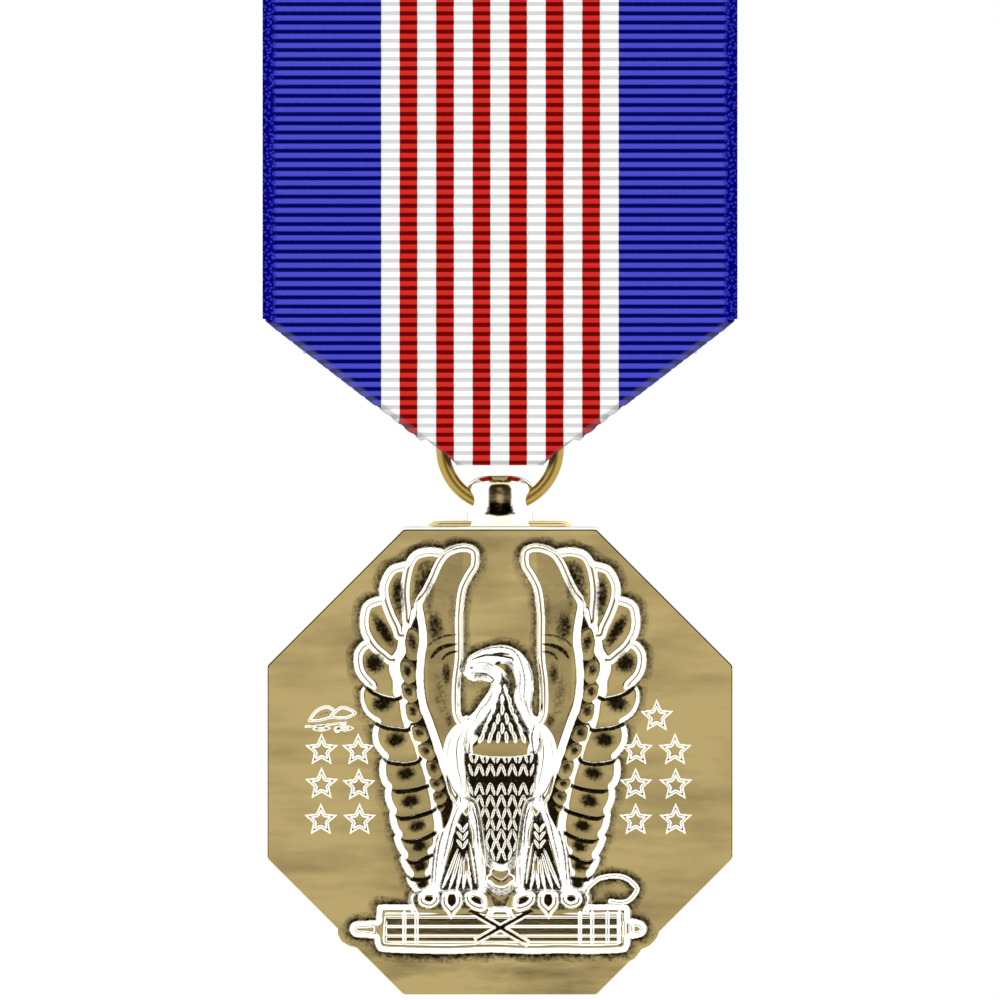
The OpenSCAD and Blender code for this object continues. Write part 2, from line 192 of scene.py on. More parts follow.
def spline(points: Outline, closed: bool = False, steps: int = 7) -> np.ndarray:
    """Smooth path through a few points, by Catmull-Rom cubics.

    Args:
        points: the places that the path runs through.
        closed: whether it returns to its start.
        steps: samples per stretch.

    Returns:
        The path as rows of coordinates.
    """
    p = np.asarray(points, float)
    if closed:
        ext = np.vstack([p[-1], p, p[0], p[1]])
    else:
        ext = np.vstack([2 * p[0] - p[1], p, 2 * p[-1] - p[-2]])
    t = np.linspace(0, 1, steps, endpoint=False)[:, None]
    parts = []
    for a, b, c, d in zip(ext[:-3], ext[1:-2], ext[2:-1], ext[3:]):
        parts.append(
            0.5
            * (
                2 * b
                + (c - a) * t
                + (2 * a - 5 * b + 4 * c - d) * t**2
                + (3 * b - a - 3 * c + d) * t**3
            )
        )
    if not closed:
        parts.append(p[-1:])
    return np.vstack(parts)


def mirrored(points: Outline, middle: float = 0.0) -> Outline:
    """The same outline on the other side of an upright line."""
    return tuple((2 * middle - u, v) for u, v in points)


def on_side(points: Outline, side: float, middle: float = 0.0) -> Outline:
    """An outline drawn for the viewer's left, moved to either side."""
    return points if side > 0 else mirrored(points, middle)


def smooth(x: np.ndarray) -> np.ndarray:
    """Ease from 0 to 1 with level ends."""
    x = np.clip(x, 0, 1)
    return x * x * (3 - 2 * x)


def soft_max(a: np.ndarray, b: np.ndarray, k: float) -> np.ndarray:
    """The higher of two surfaces, with the valley between them rounded."""
    q = np.maximum(k - np.abs(a - b), 0) / k
    return np.maximum(a, b) + q * q * k / 4


@dataclass
class Near:
    """A window of a relief, measured from a path.

    Args:
        at: the slice of the relief's grid.
        u: the window's first coordinate.
        v: the window's second coordinate.
        d: distance from the path, positive inside a closed one.
        t: how far along the path the nearest place is, from 0 to 1.
    """

    at: tuple[slice, slice]
    u: np.ndarray
    v: np.ndarray
    d: np.ndarray
    t: np.ndarray


@dataclass
class Relief:
    """A height field over a part of the medal's plane, worked like a modeller's wax.

    Args:
        low: lowest u and v.
        high: highest u and v.
        pitch: grid spacing.
        sunk: level of the wax where nothing is raised, below the field.
    """

    low: Point
    high: Point
    pitch: float = 0.06
    sunk: float = -0.12
    h: np.ndarray = field(init=False)
    # Darkness painted into the metal's colour: painted shade in hollows and gaps, and painted dark
    # reflections on faces that would mirror dark surroundings.
    tone: np.ndarray = field(init=False)

    def __post_init__(self) -> None:
        """Lays out the grid and fills it with the sunk level."""
        self.u = np.arange(self.low[0], self.high[0] + self.pitch / 2, self.pitch)
        self.v = np.arange(self.low[1], self.high[1] + self.pitch / 2, self.pitch)
        self.h = np.full((len(self.v), len(self.u)), self.sunk)
        self.tone = np.zeros_like(self.h)

    def near(self, path: np.ndarray, closed: bool, margin: float) -> Near | None:
        """Measures the grid's distance from a path.

        Args:
            path: the path's samples.
            closed: whether it is an outline.
            margin: how far around the path to measure.

        Returns:
            The window, or None where the path lies off the grid.
        """
        lo, hi = path.min(0) - margin, path.max(0) + margin
        i0, i1 = np.searchsorted(self.u, (lo[0], hi[0]))
        j0, j1 = np.searchsorted(self.v, (lo[1], hi[1]))
        if i1 <= i0 or j1 <= j0:
            return None
        at = (slice(j0, j1), slice(i0, i1))
        u, v = np.meshgrid(self.u[at[1]], self.v[at[0]])
        best = np.full(u.shape, 1e9)
        along = np.zeros(u.shape)
        inside = np.zeros(u.shape, bool)
        ends = np.roll(path, -1, 0) if closed else path[1:]
        count = len(path) if closed else len(path) - 1
        for k in range(count):
            (ax, ay), (bx, by) = path[k], ends[k]
            dx, dy = bx - ax, by - ay
            size = dx * dx + dy * dy
            if size < 1e-12:
                continue
            s = np.clip(((u - ax) * dx + (v - ay) * dy) / size, 0, 1)
            gap = np.hypot(u - ax - s * dx, v - ay - s * dy)
            closer = gap < best
            best = np.where(closer, gap, best)
            along = np.where(closer, (k + s) / count, along)
            if closed:
                crosses = ((ay > v) != (by > v)) & (
                    u < (bx - ax) * (v - ay) / (by - ay + 1e-15) + ax
                )
                inside ^= crosses
        d = np.where(inside, best, -best) if closed else best
        return Near(at, u, v, d, along)

    def lay(
        self,
        outline: Outline,
        section: Callable[[Near], np.ndarray],
        edge: float = 0.07,
        straight: bool = False,
    ) -> None:
        """Covers the inside of an outline with a shape, over whatever is there.

        Args:
            outline: the shape's outline.
            section: height as a function of the window.
            edge: width over which the new surface takes over.
            straight: keeps the outline's corners.
        """
        path = np.asarray(outline, float) if straight else spline(outline, True)
        w = self.near(path, True, edge)
        if w is None:
            return
        take = smooth(w.d / edge)
        old = self.h[w.at]
        self.h[w.at] = old + (section(w) - old) * take
        # The new shape clears the painted shade under it.
        self.tone[w.at] *= 1 - take

    def swell(
        self,
        outline: Outline,
        section: Callable[[Near], np.ndarray],
        blend: float = 0.06,
        margin: float = 0.6,
        straight: bool = False,
    ) -> None:
        """Joins a shape to what is there wherever it stands higher.

        Args:
            outline: the shape's outline.
            section: height as a function of the window.
            blend: height over which the valley is rounded.
            margin: how far outside the outline the shape reaches.
            straight: keeps the outline's corners.
        """
        path = np.asarray(outline, float) if straight else spline(outline, True)
        w = self.near(path, True, margin)
        if w is not None:
            self.h[w.at] = soft_max(self.h[w.at], section(w), blend)

    def ridge(
        self,
        path: Outline,
        width: float | tuple[float, float],
        crest: float | tuple[float, float],
        over: bool = False,
        lens: bool = False,
    ) -> None:
        """Runs a half-round bead along an open path.

        Args:
            path: the bead's middle line.
            width: its width, or the widths at its two ends.
            crest: its height, or the heights at its two ends.
            over: adds the bead to what is there instead of joining it.
            lens: narrows it to a point at both ends.
        """
        line = spline(path)
        w0, w1 = width if isinstance(width, tuple) else (width, width)
        c0, c1 = crest if isinstance(crest, tuple) else (crest, crest)
        n = self.near(line, False, max(w0, w1))
        if n is None:
            return
        half = (w0 + (w1 - w0) * n.t) / 2
        if lens:
            half = half * np.sqrt(np.clip(4 * n.t * (1 - n.t), 0.06, 1))
        peak = c0 + (c1 - c0) * n.t
        rise = np.cos(np.clip(n.d / half, 0, 1) * math.pi / 2)
        # The bead clears the painted shade on its crest and flanks.
        self.tone[n.at] *= 1 - smooth(3 * rise)
        if over:
            self.h[n.at] += peak * rise
        else:
            bead = peak * rise - 1.2 * np.maximum(n.d - half, 0)
            self.h[n.at] = soft_max(self.h[n.at], bead, 0.04)

    def paint_shade(self, outline: Outline, amount: float = 1.0, soft: float = 0.12, inset: float = 0.0) -> None:
        """Paints shade into the inside of an outline.

        Args:
            outline: the outline.
            amount: 1 for black.
            soft: width of the dark's edge.
            inset: how far inside the outline the edge lies.
        """
        w = self.near(spline(outline, True), True, soft)
        if w is not None:
            dark = amount * smooth((w.d - inset) / soft + 0.5)
            self.tone[w.at] = np.maximum(self.tone[w.at], dark)

    def line(self, path: Outline, width: float, amount: float = 1.0) -> None:
        """Paints a thin line of shade that tapers at both ends.

        Args:
            path: its middle line.
            width: its width in the middle.
            amount: 1 for black.
        """
        n = self.near(spline(path), False, width)
        if n is not None:
            half = width / 2 * np.sqrt(np.clip(4 * n.t * (1 - n.t), 0, 1))
            dark = amount * smooth((half - n.d) / 0.07 + 0.5)
            self.tone[n.at] = np.maximum(self.tone[n.at], dark)

    def paint_shade_spot(self, middle: Point, size: Point, turn: float = 0.0, amount: float = 1.0) -> None:
        """Paints a soft dark oval of shade.

        Args:
            middle: its middle.
            size: its half width and half height.
            turn: how far it is turned to the left, in radians.
            amount: 1 for black.
        """
        u, v = np.meshgrid(self.u - middle[0], self.v - middle[1])
        a = (u * math.cos(turn) + v * math.sin(turn)) / size[0]
        b = (v * math.cos(turn) - u * math.sin(turn)) / size[1]
        self.tone = np.maximum(self.tone, amount * np.exp(-((a * a + b * b) ** 1.5)))


def grain(u: np.ndarray, v: np.ndarray, size: float, seed: int) -> np.ndarray:
    """Smooth unevenness, from -1 to 1, by easing between random values on a square grid.

    Args:
        u: first coordinate.
        v: second coordinate.
        size: spacing of the random values.
        seed: picks the pattern.

    Returns:
        The unevenness at each place.
    """
    cells = 64
    table = np.random.default_rng(seed).uniform(-1, 1, (cells, cells))
    gu, gv = u / size + 1000, v / size + 1000
    i, j = np.floor(gu).astype(int), np.floor(gv).astype(int)
    a, b = smooth(gu - i), smooth(gv - j)
    i0, i1, j0, j1 = i % cells, (i + 1) % cells, j % cells, (j + 1) % cells
    low = table[i0, j0] * (1 - a) + table[i1, j0] * a
    high = table[i0, j1] * (1 - a) + table[i1, j1] * a
    return low * (1 - b) + high * b


@dataclass(frozen=True)
class Leaf:
    """Section of a feather or leaf: a bead around a lower floor.

    Args:
        foot: level at the outline.
        floor: level inside the bead.
        crest: the bead's top.
        rim: the bead's width.
        fullness: 1 for a round bead, more for one with a flat top.
        bead_to: u at which the bead ends, where it follows only the outer edge.
        fade: width over which it ends.
    """

    foot: float = 0.0
    floor: float = 0.18
    crest: float = 0.36
    rim: float = 0.62
    fullness: float = 1.0
    bead_to: float | None = None
    fade: float = 0.7

    def __call__(self, n: Near) -> np.ndarray:
        """The leaf's height over a window."""
        e = np.clip(n.d / self.rim, 0, 1)
        base = self.foot + (self.floor - self.foot) * e
        wave = np.minimum(self.fullness * np.sin(math.pi * e), 1.0)
        bead = (self.crest - (self.foot + self.floor) / 2) * wave
        if self.bead_to is not None:
            bead = bead * smooth((self.bead_to - n.u) / self.fade)
        return base + bead


@dataclass(frozen=True)
class Pillow:
    """Section of a shingled feather: an even vane with softened edges and a low swelling.

    Args:
        level: height of the vane.
        drop: how far its edges fall.
        soft: width of the softened edge.
        dome: height of the swelling.
        spot: the swelling's middle.
        spread: the swelling's radius.
    """

    level: float = 0.24
    drop: float = 0.05
    soft: float = 0.3
    dome: float = 0.06
    spot: Point = (0.0, 0.0)
    spread: float = 0.42

    def __call__(self, n: Near) -> np.ndarray:
        """The vane's height over a window."""
        e = np.clip(n.d / self.soft, -1.5, 1)
        edge = self.drop * (1 - (1 - e) ** 2)
        gap2 = (n.u - self.spot[0]) ** 2 + (n.v - self.spot[1]) ** 2
        return self.level - self.drop + edge + self.dome * np.exp(-gap2 / (2 * self.spread**2))


@dataclass(frozen=True)
class Lean:
    """Section of a flat ground that leans upward.

    Args:
        level: height at the reference place.
        at_v: the reference place.
        rise: height gained per millimetre downward.
    """

    level: float
    at_v: float
    rise: float = 0.13

    def __call__(self, n: Near) -> np.ndarray:
        """The ground's height over a window."""
        return self.level + self.rise * (self.at_v - n.v)


@dataclass(frozen=True)
class Terrace:
    """Section of a step up: an even slope from the outline to a level top.

    Args:
        foot: level at the outline.
        top: level of the top.
        slope: width of the slope.
        wall: how steeply it falls outside the outline.
    """

    foot: float = 0.24
    top: float = 0.46
    slope: float = 0.62
    wall: float = 0.4

    def __call__(self, n: Near) -> np.ndarray:
        """The terrace's height over a window."""
        e = np.clip(n.d / self.slope, 0, 1)
        return self.foot + (self.top - self.foot) * e + self.wall * np.minimum(n.d, 0)


@dataclass(frozen=True)
class Mound:
    """Section of a rounded mass that rises from its outline to a plateau.

    Args:
        foot: level at the outline.
        top: level of the plateau.
        shoulder: distance over which it rises.
        power: below 1 for a bluff edge, above 1 for a hollow one.
        wall: how steeply it falls outside the outline.
    """

    foot: float = 0.0
    top: float = 0.8
    shoulder: float = 1.0
    power: float = 0.6
    wall: float = 0.7

    def __call__(self, n: Near) -> np.ndarray:
        """The mound's height over a window."""
        e = np.clip(n.d / self.shoulder, 0, 1)
        round_up = (1 - (1 - e) ** 2) ** self.power
        return self.foot + (self.top - self.foot) * round_up + self.wall * np.minimum(n.d, 0)


def union_gap(wax: Relief, paths: Sequence[np.ndarray]) -> np.ndarray:
    """Distance from the rim of several overlapping outlines, positive inside.

    Args:
        wax: the relief whose grid is measured.
        paths: closed outlines.

    Returns:
        The distance at each grid point.
    """
    u, v = np.meshgrid(wax.u, wax.v)
    whole = Relief(wax.low, wax.high, wax.pitch)
    inside = np.zeros(u.shape, bool)
    fields = []
    for path in paths:
        n = whole.near(path, True, 0.15)
        d = np.full(u.shape, -1.0)
        d[n.at] = n.d
        fields.append(d)
        inside |= d > 0
    rim = []
    for k, path in enumerate(paths):
        ends = np.roll(path, -1, 0)
        dense = np.vstack([path + (ends - path) * t for t in np.linspace(0, 1, 5, endpoint=False)])
        i = np.clip(((dense[:, 0] - wax.u[0]) / wax.pitch).round().astype(int), 0, len(wax.u) - 1)
        j = np.clip(((dense[:, 1] - wax.v[0]) / wax.pitch).round().astype(int), 0, len(wax.v) - 1)
        free = np.ones(len(dense), bool)
        for m, d in enumerate(fields):
            if m != k:
                free &= d[j, i] < 0.03
        rim.append(dense[free])
    rim = np.vstack(rim)
    best = np.full(u.shape, 1e9)
    for chunk in np.array_split(rim, max(1, len(rim) // 40)):
        gap = np.hypot(u[..., None] - chunk[:, 0], v[..., None] - chunk[:, 1]).min(-1)
        best = np.minimum(best, gap)
    return np.where(inside, best, -best)


def skirted(wax: Relief, gap: np.ndarray, slope: np.ndarray | float, seed: int, under: float = 0.0) -> None:
    """Cuts a relief's rim to an even slope, adds the field's gentle swell around it and paints a halo of
    shade over the swell.

    Args:
        wax: the relief.
        gap: distance from its rim, positive inside.
        slope: steepness of the rim.
        seed: picks the swell's unevenness.
        under: extra painted shade below it.
    """
    u, v = np.meshgrid(wax.u, wax.v)
    uneven = 0.85 + 0.25 * grain(u, v, 0.9, seed)
    gv, gu = np.gradient(gap, wax.pitch)
    upward = -gv / (np.hypot(gu, gv) + 1e-6)
    away = np.clip(1 + np.minimum(gap, 0) / (1.1 * uneven), 0, 1)
    outside = 0.03 * away**2 - 0.004
    bluff = 0.03 + slope * np.maximum(gap, 0)
    wax.h = np.where(gap > 0, np.minimum(wax.h, bluff), outside)
    wax.h = np.where(wax.h < -0.0035, wax.sunk, wax.h)
    # Painted shade around the relief, darker beside its upper edge and fading outward.
    halo_shade = (0.62 + 0.28 * upward + under * np.maximum(-upward, 0)) * away**1.5
    wax.tone = np.where(gap > 0, wax.tone, np.clip(halo_shade, 0, 1))


# ---------------------------------------------------------------- meshes

# The point attribute that holds a pair of values for the finish to read: painted shade and painted highlight
# on metal, the place across and along the strip on the ribbon.
PLACE = "place"


@dataclass
class Mesh:
    """Gathers vertices and faces, in millimetres, and makes a mesh object of them."""

    points: list[np.ndarray] = field(default_factory=list)
    quads: list[np.ndarray] = field(default_factory=list)
    plates: list[np.ndarray] = field(default_factory=list)
    uvs: list[np.ndarray] = field(default_factory=list)
    count: int = 0

    def add(self, points: np.ndarray, uv: np.ndarray | None = None) -> int:
        """Adds vertices.

        Args:
            points: rows of x, y, z.
            uv: a pair of values for each vertex.

        Returns:
            The index of the first one.
        """
        first = self.count
        self.points.append(points.reshape(-1, 3))
        flat = np.zeros((len(self.points[-1]), 2)) if uv is None else uv.reshape(-1, 2)
        self.uvs.append(flat)
        self.count += len(self.points[-1])
        return first

    def loft(self, rings: np.ndarray) -> "Mesh":
        """Skins a row of closed rings of points and closes both ends.

        Args:
            rings: array of ring, point, coordinate.

        Returns:
            The gatherer itself.
        """
        n, m = rings.shape[:2]
        base = self.add(rings)
        i = np.arange(n - 1)[:, None]
        j = np.arange(m)[None, :]
        after = (j + 1) % m
        quad = np.stack([i * m + j, i * m + after, (i + 1) * m + after, (i + 1) * m + j], -1)
        self.quads.append(base + quad.reshape(-1, 4))
        self.plates.append(base + np.arange(m)[::-1])
        self.plates.append(base + (n - 1) * m + np.arange(m))
        return self

    def build(self, name: str) -> bpy.types.Object:
        """Makes the object, with quads smooth and plates flat, facing outward.

        Args:
            name: the object's name.

        Returns:
            The linked object.
        """
        points = np.vstack(self.points) * MM
        quads = np.vstack(self.quads) if self.quads else np.zeros((0, 4), int)
        sizes = [4] * len(quads) + [len(p) for p in self.plates]
        loops = np.concatenate([quads.ravel(), *self.plates]).astype(np.int32)
        starts = np.concatenate([[0], np.cumsum(sizes)[:-1]]).astype(np.int32)
        mesh = bpy.data.meshes.new(name)
        mesh.vertices.add(len(points))
        mesh.vertices.foreach_set("co", points.astype(np.float32).ravel())
        mesh.loops.add(len(loops))
        mesh.loops.foreach_set("vertex_index", loops)
        mesh.polygons.add(len(sizes))
        mesh.polygons.foreach_set("loop_start", starts)
        shade = np.ones(len(sizes), bool)
        shade[len(quads) :] = False
        mesh.polygons.foreach_set("use_smooth", shade)
        uv = np.vstack(self.uvs)
        rows = np.column_stack([uv, np.zeros(len(uv))]).astype(np.float32)
        place = mesh.attributes.new(PLACE, "FLOAT_VECTOR", "POINT")
        place.data.foreach_set("vector", rows.ravel())
        mesh.update(calc_edges=True)
        mesh.validate()
        obj = bpy.data.objects.new(name, mesh)
        bpy.context.scene.collection.objects.link(obj)
        face_out(obj)
        return obj


def face_out(obj: bpy.types.Object) -> None:
    """Turns a closed mesh's faces outward.

    Args:
        obj: the mesh object.
    """
    mesh = obj.data
    mesh.calc_loop_triangles()
    tri = np.zeros(len(mesh.loop_triangles) * 3, np.int32)
    mesh.loop_triangles.foreach_get("vertices", tri)
    co = np.zeros(len(mesh.vertices) * 3, np.float32)
    mesh.vertices.foreach_get("co", co)
    a, b, c = (co.reshape(-1, 3)[tri.reshape(-1, 3)[:, k]].astype(float) for k in range(3))
    if np.einsum("ij,ij->i", a, np.cross(b, c)).sum() < 0:
        mesh.flip_normals()


def skin(
    mesh: Mesh,
    top: np.ndarray,
    bottom: np.ndarray,
    keep: np.ndarray,
    uv: np.ndarray | None = None,
) -> None:
    """Closes the space between two grids of points with walls around the kept cells.

    Args:
        mesh: the gatherer that receives it.
        top: outer surface, as row, column, coordinate.
        bottom: inner surface, likewise.
        keep: the cells that exist.
        uv: a pair of values for each grid point.
    """
    rows, cols = top.shape[:2]
    used = np.zeros((rows, cols), bool)
    for dr in (0, 1):
        for dc in (0, 1):
            used[dr : rows - 1 + dr, dc : cols - 1 + dc] |= keep
    index = np.full((rows, cols), -1)
    index[used] = np.arange(used.sum())
    pair = None if uv is None else uv[used]
    first = mesh.add(top[used], pair)
    second = mesh.add(bottom[used], pair)
    r, c = np.nonzero(keep)
    face = np.stack([index[r, c], index[r, c + 1], index[r + 1, c + 1], index[r + 1, c]], -1)
    mesh.quads.append(first + face)
    mesh.quads.append(second + face[:, ::-1])
    padded = np.zeros((rows + 1, cols + 1), bool)
    padded[1:rows, 1:cols] = keep
    sides = []
    r, c = np.nonzero(padded[:-1, 1:] != padded[1:, 1:])
    ok = c < cols - 1
    r, c = r[ok], c[ok]
    below = padded[1:, 1:][r, c]
    a, b = index[r, c], index[r, c + 1]
    sides.append((a, b, below))
    r, c = np.nonzero(padded[1:, :-1] != padded[1:, 1:])
    ok = r < rows - 1
    r, c = r[ok], c[ok]
    right = padded[1:, 1:][r, c]
    a, b = index[r, c], index[r + 1, c]
    sides.append((b, a, right))
    for a, b, forward in sides:
        wall = np.stack([second + a, second + b, first + b, first + a], -1)
        mesh.quads.append(np.where(forward[:, None], wall, wall[:, ::-1]))


def strike(
    relief: Relief, name: str, plane_y: float, back: bool = False, cut: float = -0.1
) -> bpy.types.Object:
    """Makes a closed piece of a relief, sunk a little into the medal's field.

    Args:
        relief: the height field.
        name: the piece's name.
        plane_y: depth of the field that it stands on.
        back: whether it stands on the reverse.
        cut: lowest level that is kept.

    Returns:
        The piece.
    """
    h = np.where(relief.h > cut, relief.h, -0.03)
    high = relief.h > cut
    keep = high[:-1, :-1] | high[1:, :-1] | high[:-1, 1:] | high[1:, 1:]
    u, v = np.meshgrid(relief.u, relief.v)
    side = -1.0 if back else 1.0
    x, z = side * u, CAD.medal_z + v
    top = np.stack([x, plane_y - side * h, z], -1)
    low = np.full_like(h, relief.sunk - 0.1)
    bottom = np.stack([x, plane_y - side * low, z], -1)
    mesh = Mesh()
    # Painted highlight where the relief slopes more steeply than about 11 degrees, in full from about 15.
    gv, gu = np.gradient(h, relief.pitch)
    painted_highlight = smooth((np.hypot(gu, gv) - 0.19) / 0.08)
    skin(mesh, top, bottom, keep, np.stack([relief.tone, painted_highlight], -1))
    return mesh.build(name)


def paint_shade_and_highlight(obj: bpy.types.Object, shade: Callable[[np.ndarray], np.ndarray]) -> None:
    """Sets a piece's painted shade and painted highlight point by point.

    Args:
        obj: the piece.
        shade: the painted shade and painted highlight for each of the rows of x, y, z in millimetres.
    """
    mesh = obj.data
    co = np.zeros(len(mesh.vertices) * 3, np.float32)
    mesh.vertices.foreach_get("co", co)
    pairs = shade(co.reshape(-1, 3) / MM)
    rows = np.column_stack([pairs, np.zeros(len(pairs))]).astype(np.float32)
    place = mesh.attributes.get(PLACE) or mesh.attributes.new(PLACE, "FLOAT_VECTOR", "POINT")
    place.data.foreach_set("vector", rows.ravel())


# ---------------------------------------------------------------- finishes


class Nodes:
    """A material's or world's node tree, with short ways to add and join nodes."""

    def __init__(self, tree: bpy.types.NodeTree) -> None:
        """Empties the tree."""
        self.tree = tree
        tree.nodes.clear()

    def add(self, kind: str, **settings: object) -> bpy.types.Node:
        """Adds a node.

        Args:
            kind: the node's type name.
            settings: attributes of the node.

        Returns:
            The node.
        """
        node = self.tree.nodes.new(kind)
        for key, value in settings.items():
            setattr(node, key, value)
        return node

    def put(self, socket: bpy.types.NodeSocket, value: object) -> None:
        """Gives an input a constant or a link.

        Args:
            socket: the input.
            value: an output socket or a constant.
        """
        if isinstance(value, bpy.types.NodeSocket):
            self.tree.links.new(value, socket)
        else:
            socket.default_value = value

    def math(self, operation: str, *values: object, clamp: bool = False) -> bpy.types.NodeSocket:
        """Adds a math node.

        Args:
            operation: what it does.
            values: its inputs.
            clamp: holds the result in 0 to 1.

        Returns:
            Its output.
        """
        node = self.add("ShaderNodeMath", operation=operation, use_clamp=clamp)
        for socket, value in zip(node.inputs, values):
            self.put(socket, value)
        return node.outputs[0]

    def band(self, value: object, low: float, high: float) -> bpy.types.NodeSocket:
        """Eases from 0 at one value to 1 at another.

        Args:
            value: the input.
            low: where it is 0.
            high: where it is 1.

        Returns:
            The eased output.
        """
        node = self.add("ShaderNodeMapRange", interpolation_type="SMOOTHSTEP")
        self.put(node.inputs["Value"], value)
        node.inputs["From Min"].default_value = low
        node.inputs["From Max"].default_value = high
        return node.outputs["Result"]

    def mix(self, factor: object, a: object, b: object) -> bpy.types.NodeSocket:
        """Mixes two colours.

        Args:
            factor: share of the second.
            a: first colour.
            b: second colour.

        Returns:
            The mixed colour.
        """
        node = self.add("ShaderNodeMix", data_type="RGBA")
        self.put(node.inputs[0], factor)
        self.put(node.inputs[6], a)
        self.put(node.inputs[7], b)
        return node.outputs[2]

    def noise(self, vector: object, scale: float, detail: float = 2.0) -> bpy.types.NodeSocket:
        """Adds a noise texture.

        Args:
            vector: where it is read.
            scale: its scale.
            detail: its number of octaves.

        Returns:
            Its value.
        """
        node = self.add("ShaderNodeTexNoise")
        self.put(node.inputs["Vector"], vector)
        node.inputs["Scale"].default_value = scale
        node.inputs["Detail"].default_value = detail
        return node.outputs["Fac"]

    def stretched(self, scale: tuple[float, float, float]) -> bpy.types.NodeSocket:
        """Object coordinates, scaled along each axis.

        Args:
            scale: the three factors.

        Returns:
            The vector.
        """
        place = self.add("ShaderNodeTexCoord")
        node = self.add("ShaderNodeMapping")
        self.put(node.inputs["Vector"], place.outputs["Object"])
        node.inputs["Scale"].default_value = scale
        return node.outputs["Vector"]


Rgb = tuple[float, float, float]


def rgba(colour: Rgb) -> tuple[float, float, float, float]:
    """A colour with full cover."""
    return (*colour, 1.0)


def from_srgb(red: int, green: int, blue: int) -> Rgb:
    """A display colour as linear light.

    Args:
        red: 0 to 255.
        green: 0 to 255.
        blue: 0 to 255.

    Returns:
        The linear colour.
    """
    values = []
    for part in (red, green, blue):
        c = part / 255
        values.append(c / 12.92 if c <= 0.04045 else ((c + 0.055) / 1.055) ** 2.4)
    return tuple(values)


# A mottled metal's darkest clouds, its painted highlight on steep slopes, and its painted shade in hollows
# and gaps.
SHADED: Rgb = (0.05, 0.035, 0.01)
PAINTED_HIGHLIGHT_COLOUR: Rgb = (0.97, 0.96, 0.90)
PAINTED_SHADE_COLOUR: Rgb = (0.018, 0.012, 0.005)


@dataclass(frozen=True)
class Metal:
    """A plated or polished metal with a faint uneven surface.

    Args:
        name: the material's name.
        colour: linear reflectance.
        roughness: of the polish.
        grain: strength of the uneven surface.
        grain_scale: its scale, in cells per metre.
        streak: how much longer the cells are along X than along Z.
        mottled_with_painted_light: whether the face is mottled, painted lighter towards the left and right,
            and given the painted highlight and painted shade that the attribute "place" carries.
    """

    name: str
    colour: Rgb
    roughness: float = 0.1
    grain: float = 0.1
    grain_scale: float = 3000.0
    streak: float = 1.0
    mottled_with_painted_light: bool = False

    def _mottle_and_paint_light(self, n: Nodes) -> bpy.types.NodeSocket:
        """Mottles the colour, paints it lighter towards the left and right, and mixes in the painted
        highlight and the painted shade that the attribute "place" carries.

        Args:
            n: the tree's maker.

        Returns:
            The colour.
        """
        where = n.add("ShaderNodeTexCoord").outputs["Object"]
        spot = n.add("ShaderNodeSeparateXYZ")
        n.put(spot.inputs[0], where)
        side = n.math("ABSOLUTE", spot.outputs["X"])
        broad = n.noise(n.stretched((0.45, 1.0, 1.0)), 260.0, 5.0)
        streaky = n.noise(n.stretched((0.16, 1.0, 1.0)), 900.0, 4.0)
        foot = n.band(spot.outputs["Z"], -0.0735, -0.0755)
        reach = n.math("MULTIPLY_ADD", foot, 1.5, 1.1)
        cloud = n.math("MULTIPLY", n.math("SUBTRACT", broad, 0.5), reach)
        strength = n.math("MULTIPLY_ADD", foot, 0.9, 0.7)
        lines = n.math("MULTIPLY", n.math("SUBTRACT", streaky, 0.5), strength)
        # Painted light: lighter from 6 mm out to the left and right, in full from 15 mm.
        level = n.math("MULTIPLY_ADD", n.band(side, 0.006, 0.015), 0.1, 0.82)
        level = n.math("ADD", level, n.math("ADD", cloud, lines))
        tan = n.mix(n.math("ADD", level, 0.0, clamp=True), rgba(SHADED), rgba(self.colour))
        place = n.add("ShaderNodeAttribute", attribute_name=PLACE)
        parts = n.add("ShaderNodeSeparateXYZ")
        n.put(parts.inputs[0], place.outputs["Vector"])
        # Painted highlight from the attribute's second value.
        tan = n.mix(parts.outputs["Y"], tan, rgba(PAINTED_HIGHLIGHT_COLOUR))
        # Painted shade from its first value, with a ragged edge.
        dark = parts.outputs["X"]
        fine = n.noise(where, 4600.0, 3.0)
        reach = n.math("MULTIPLY", n.math("MULTIPLY", dark, 4.0, clamp=True), 1.1)
        ragged = n.math("MULTIPLY_ADD", n.math("SUBTRACT", fine, 0.5), reach, dark)
        return n.mix(n.band(ragged, 0.06, 0.95), tan, rgba(PAINTED_SHADE_COLOUR))

    def material(self) -> bpy.types.Material:
        """Makes the material, or returns it if it is made.

        Returns:
            The material.
        """
        found = bpy.data.materials.get(self.name)
        if found:
            return found
        made = bpy.data.materials.new(self.name)
        made.use_nodes = True
        n = Nodes(made.node_tree)
        out = n.add("ShaderNodeOutputMaterial")
        shader = n.add("ShaderNodeBsdfPrincipled")
        shader.inputs["Base Color"].default_value = rgba(self.colour)
        shader.inputs["Metallic"].default_value = 1.0
        shader.inputs["Roughness"].default_value = self.roughness
        if self.mottled_with_painted_light:
            n.put(shader.inputs["Base Color"], self._mottle_and_paint_light(n))
        if self.grain > 0:
            where = n.stretched((1 / self.streak, 1.0, 1.0))
            fine = n.noise(where, self.grain_scale, 3.0)
            bump = n.add("ShaderNodeBump")
            bump.inputs["Strength"].default_value = self.grain
            bump.inputs["Distance"].default_value = 0.0001
            n.put(bump.inputs["Height"], fine)
            n.put(shader.inputs["Normal"], bump.outputs["Normal"])
        n.put(out.inputs["Surface"], shader.outputs["BSDF"])
        return made


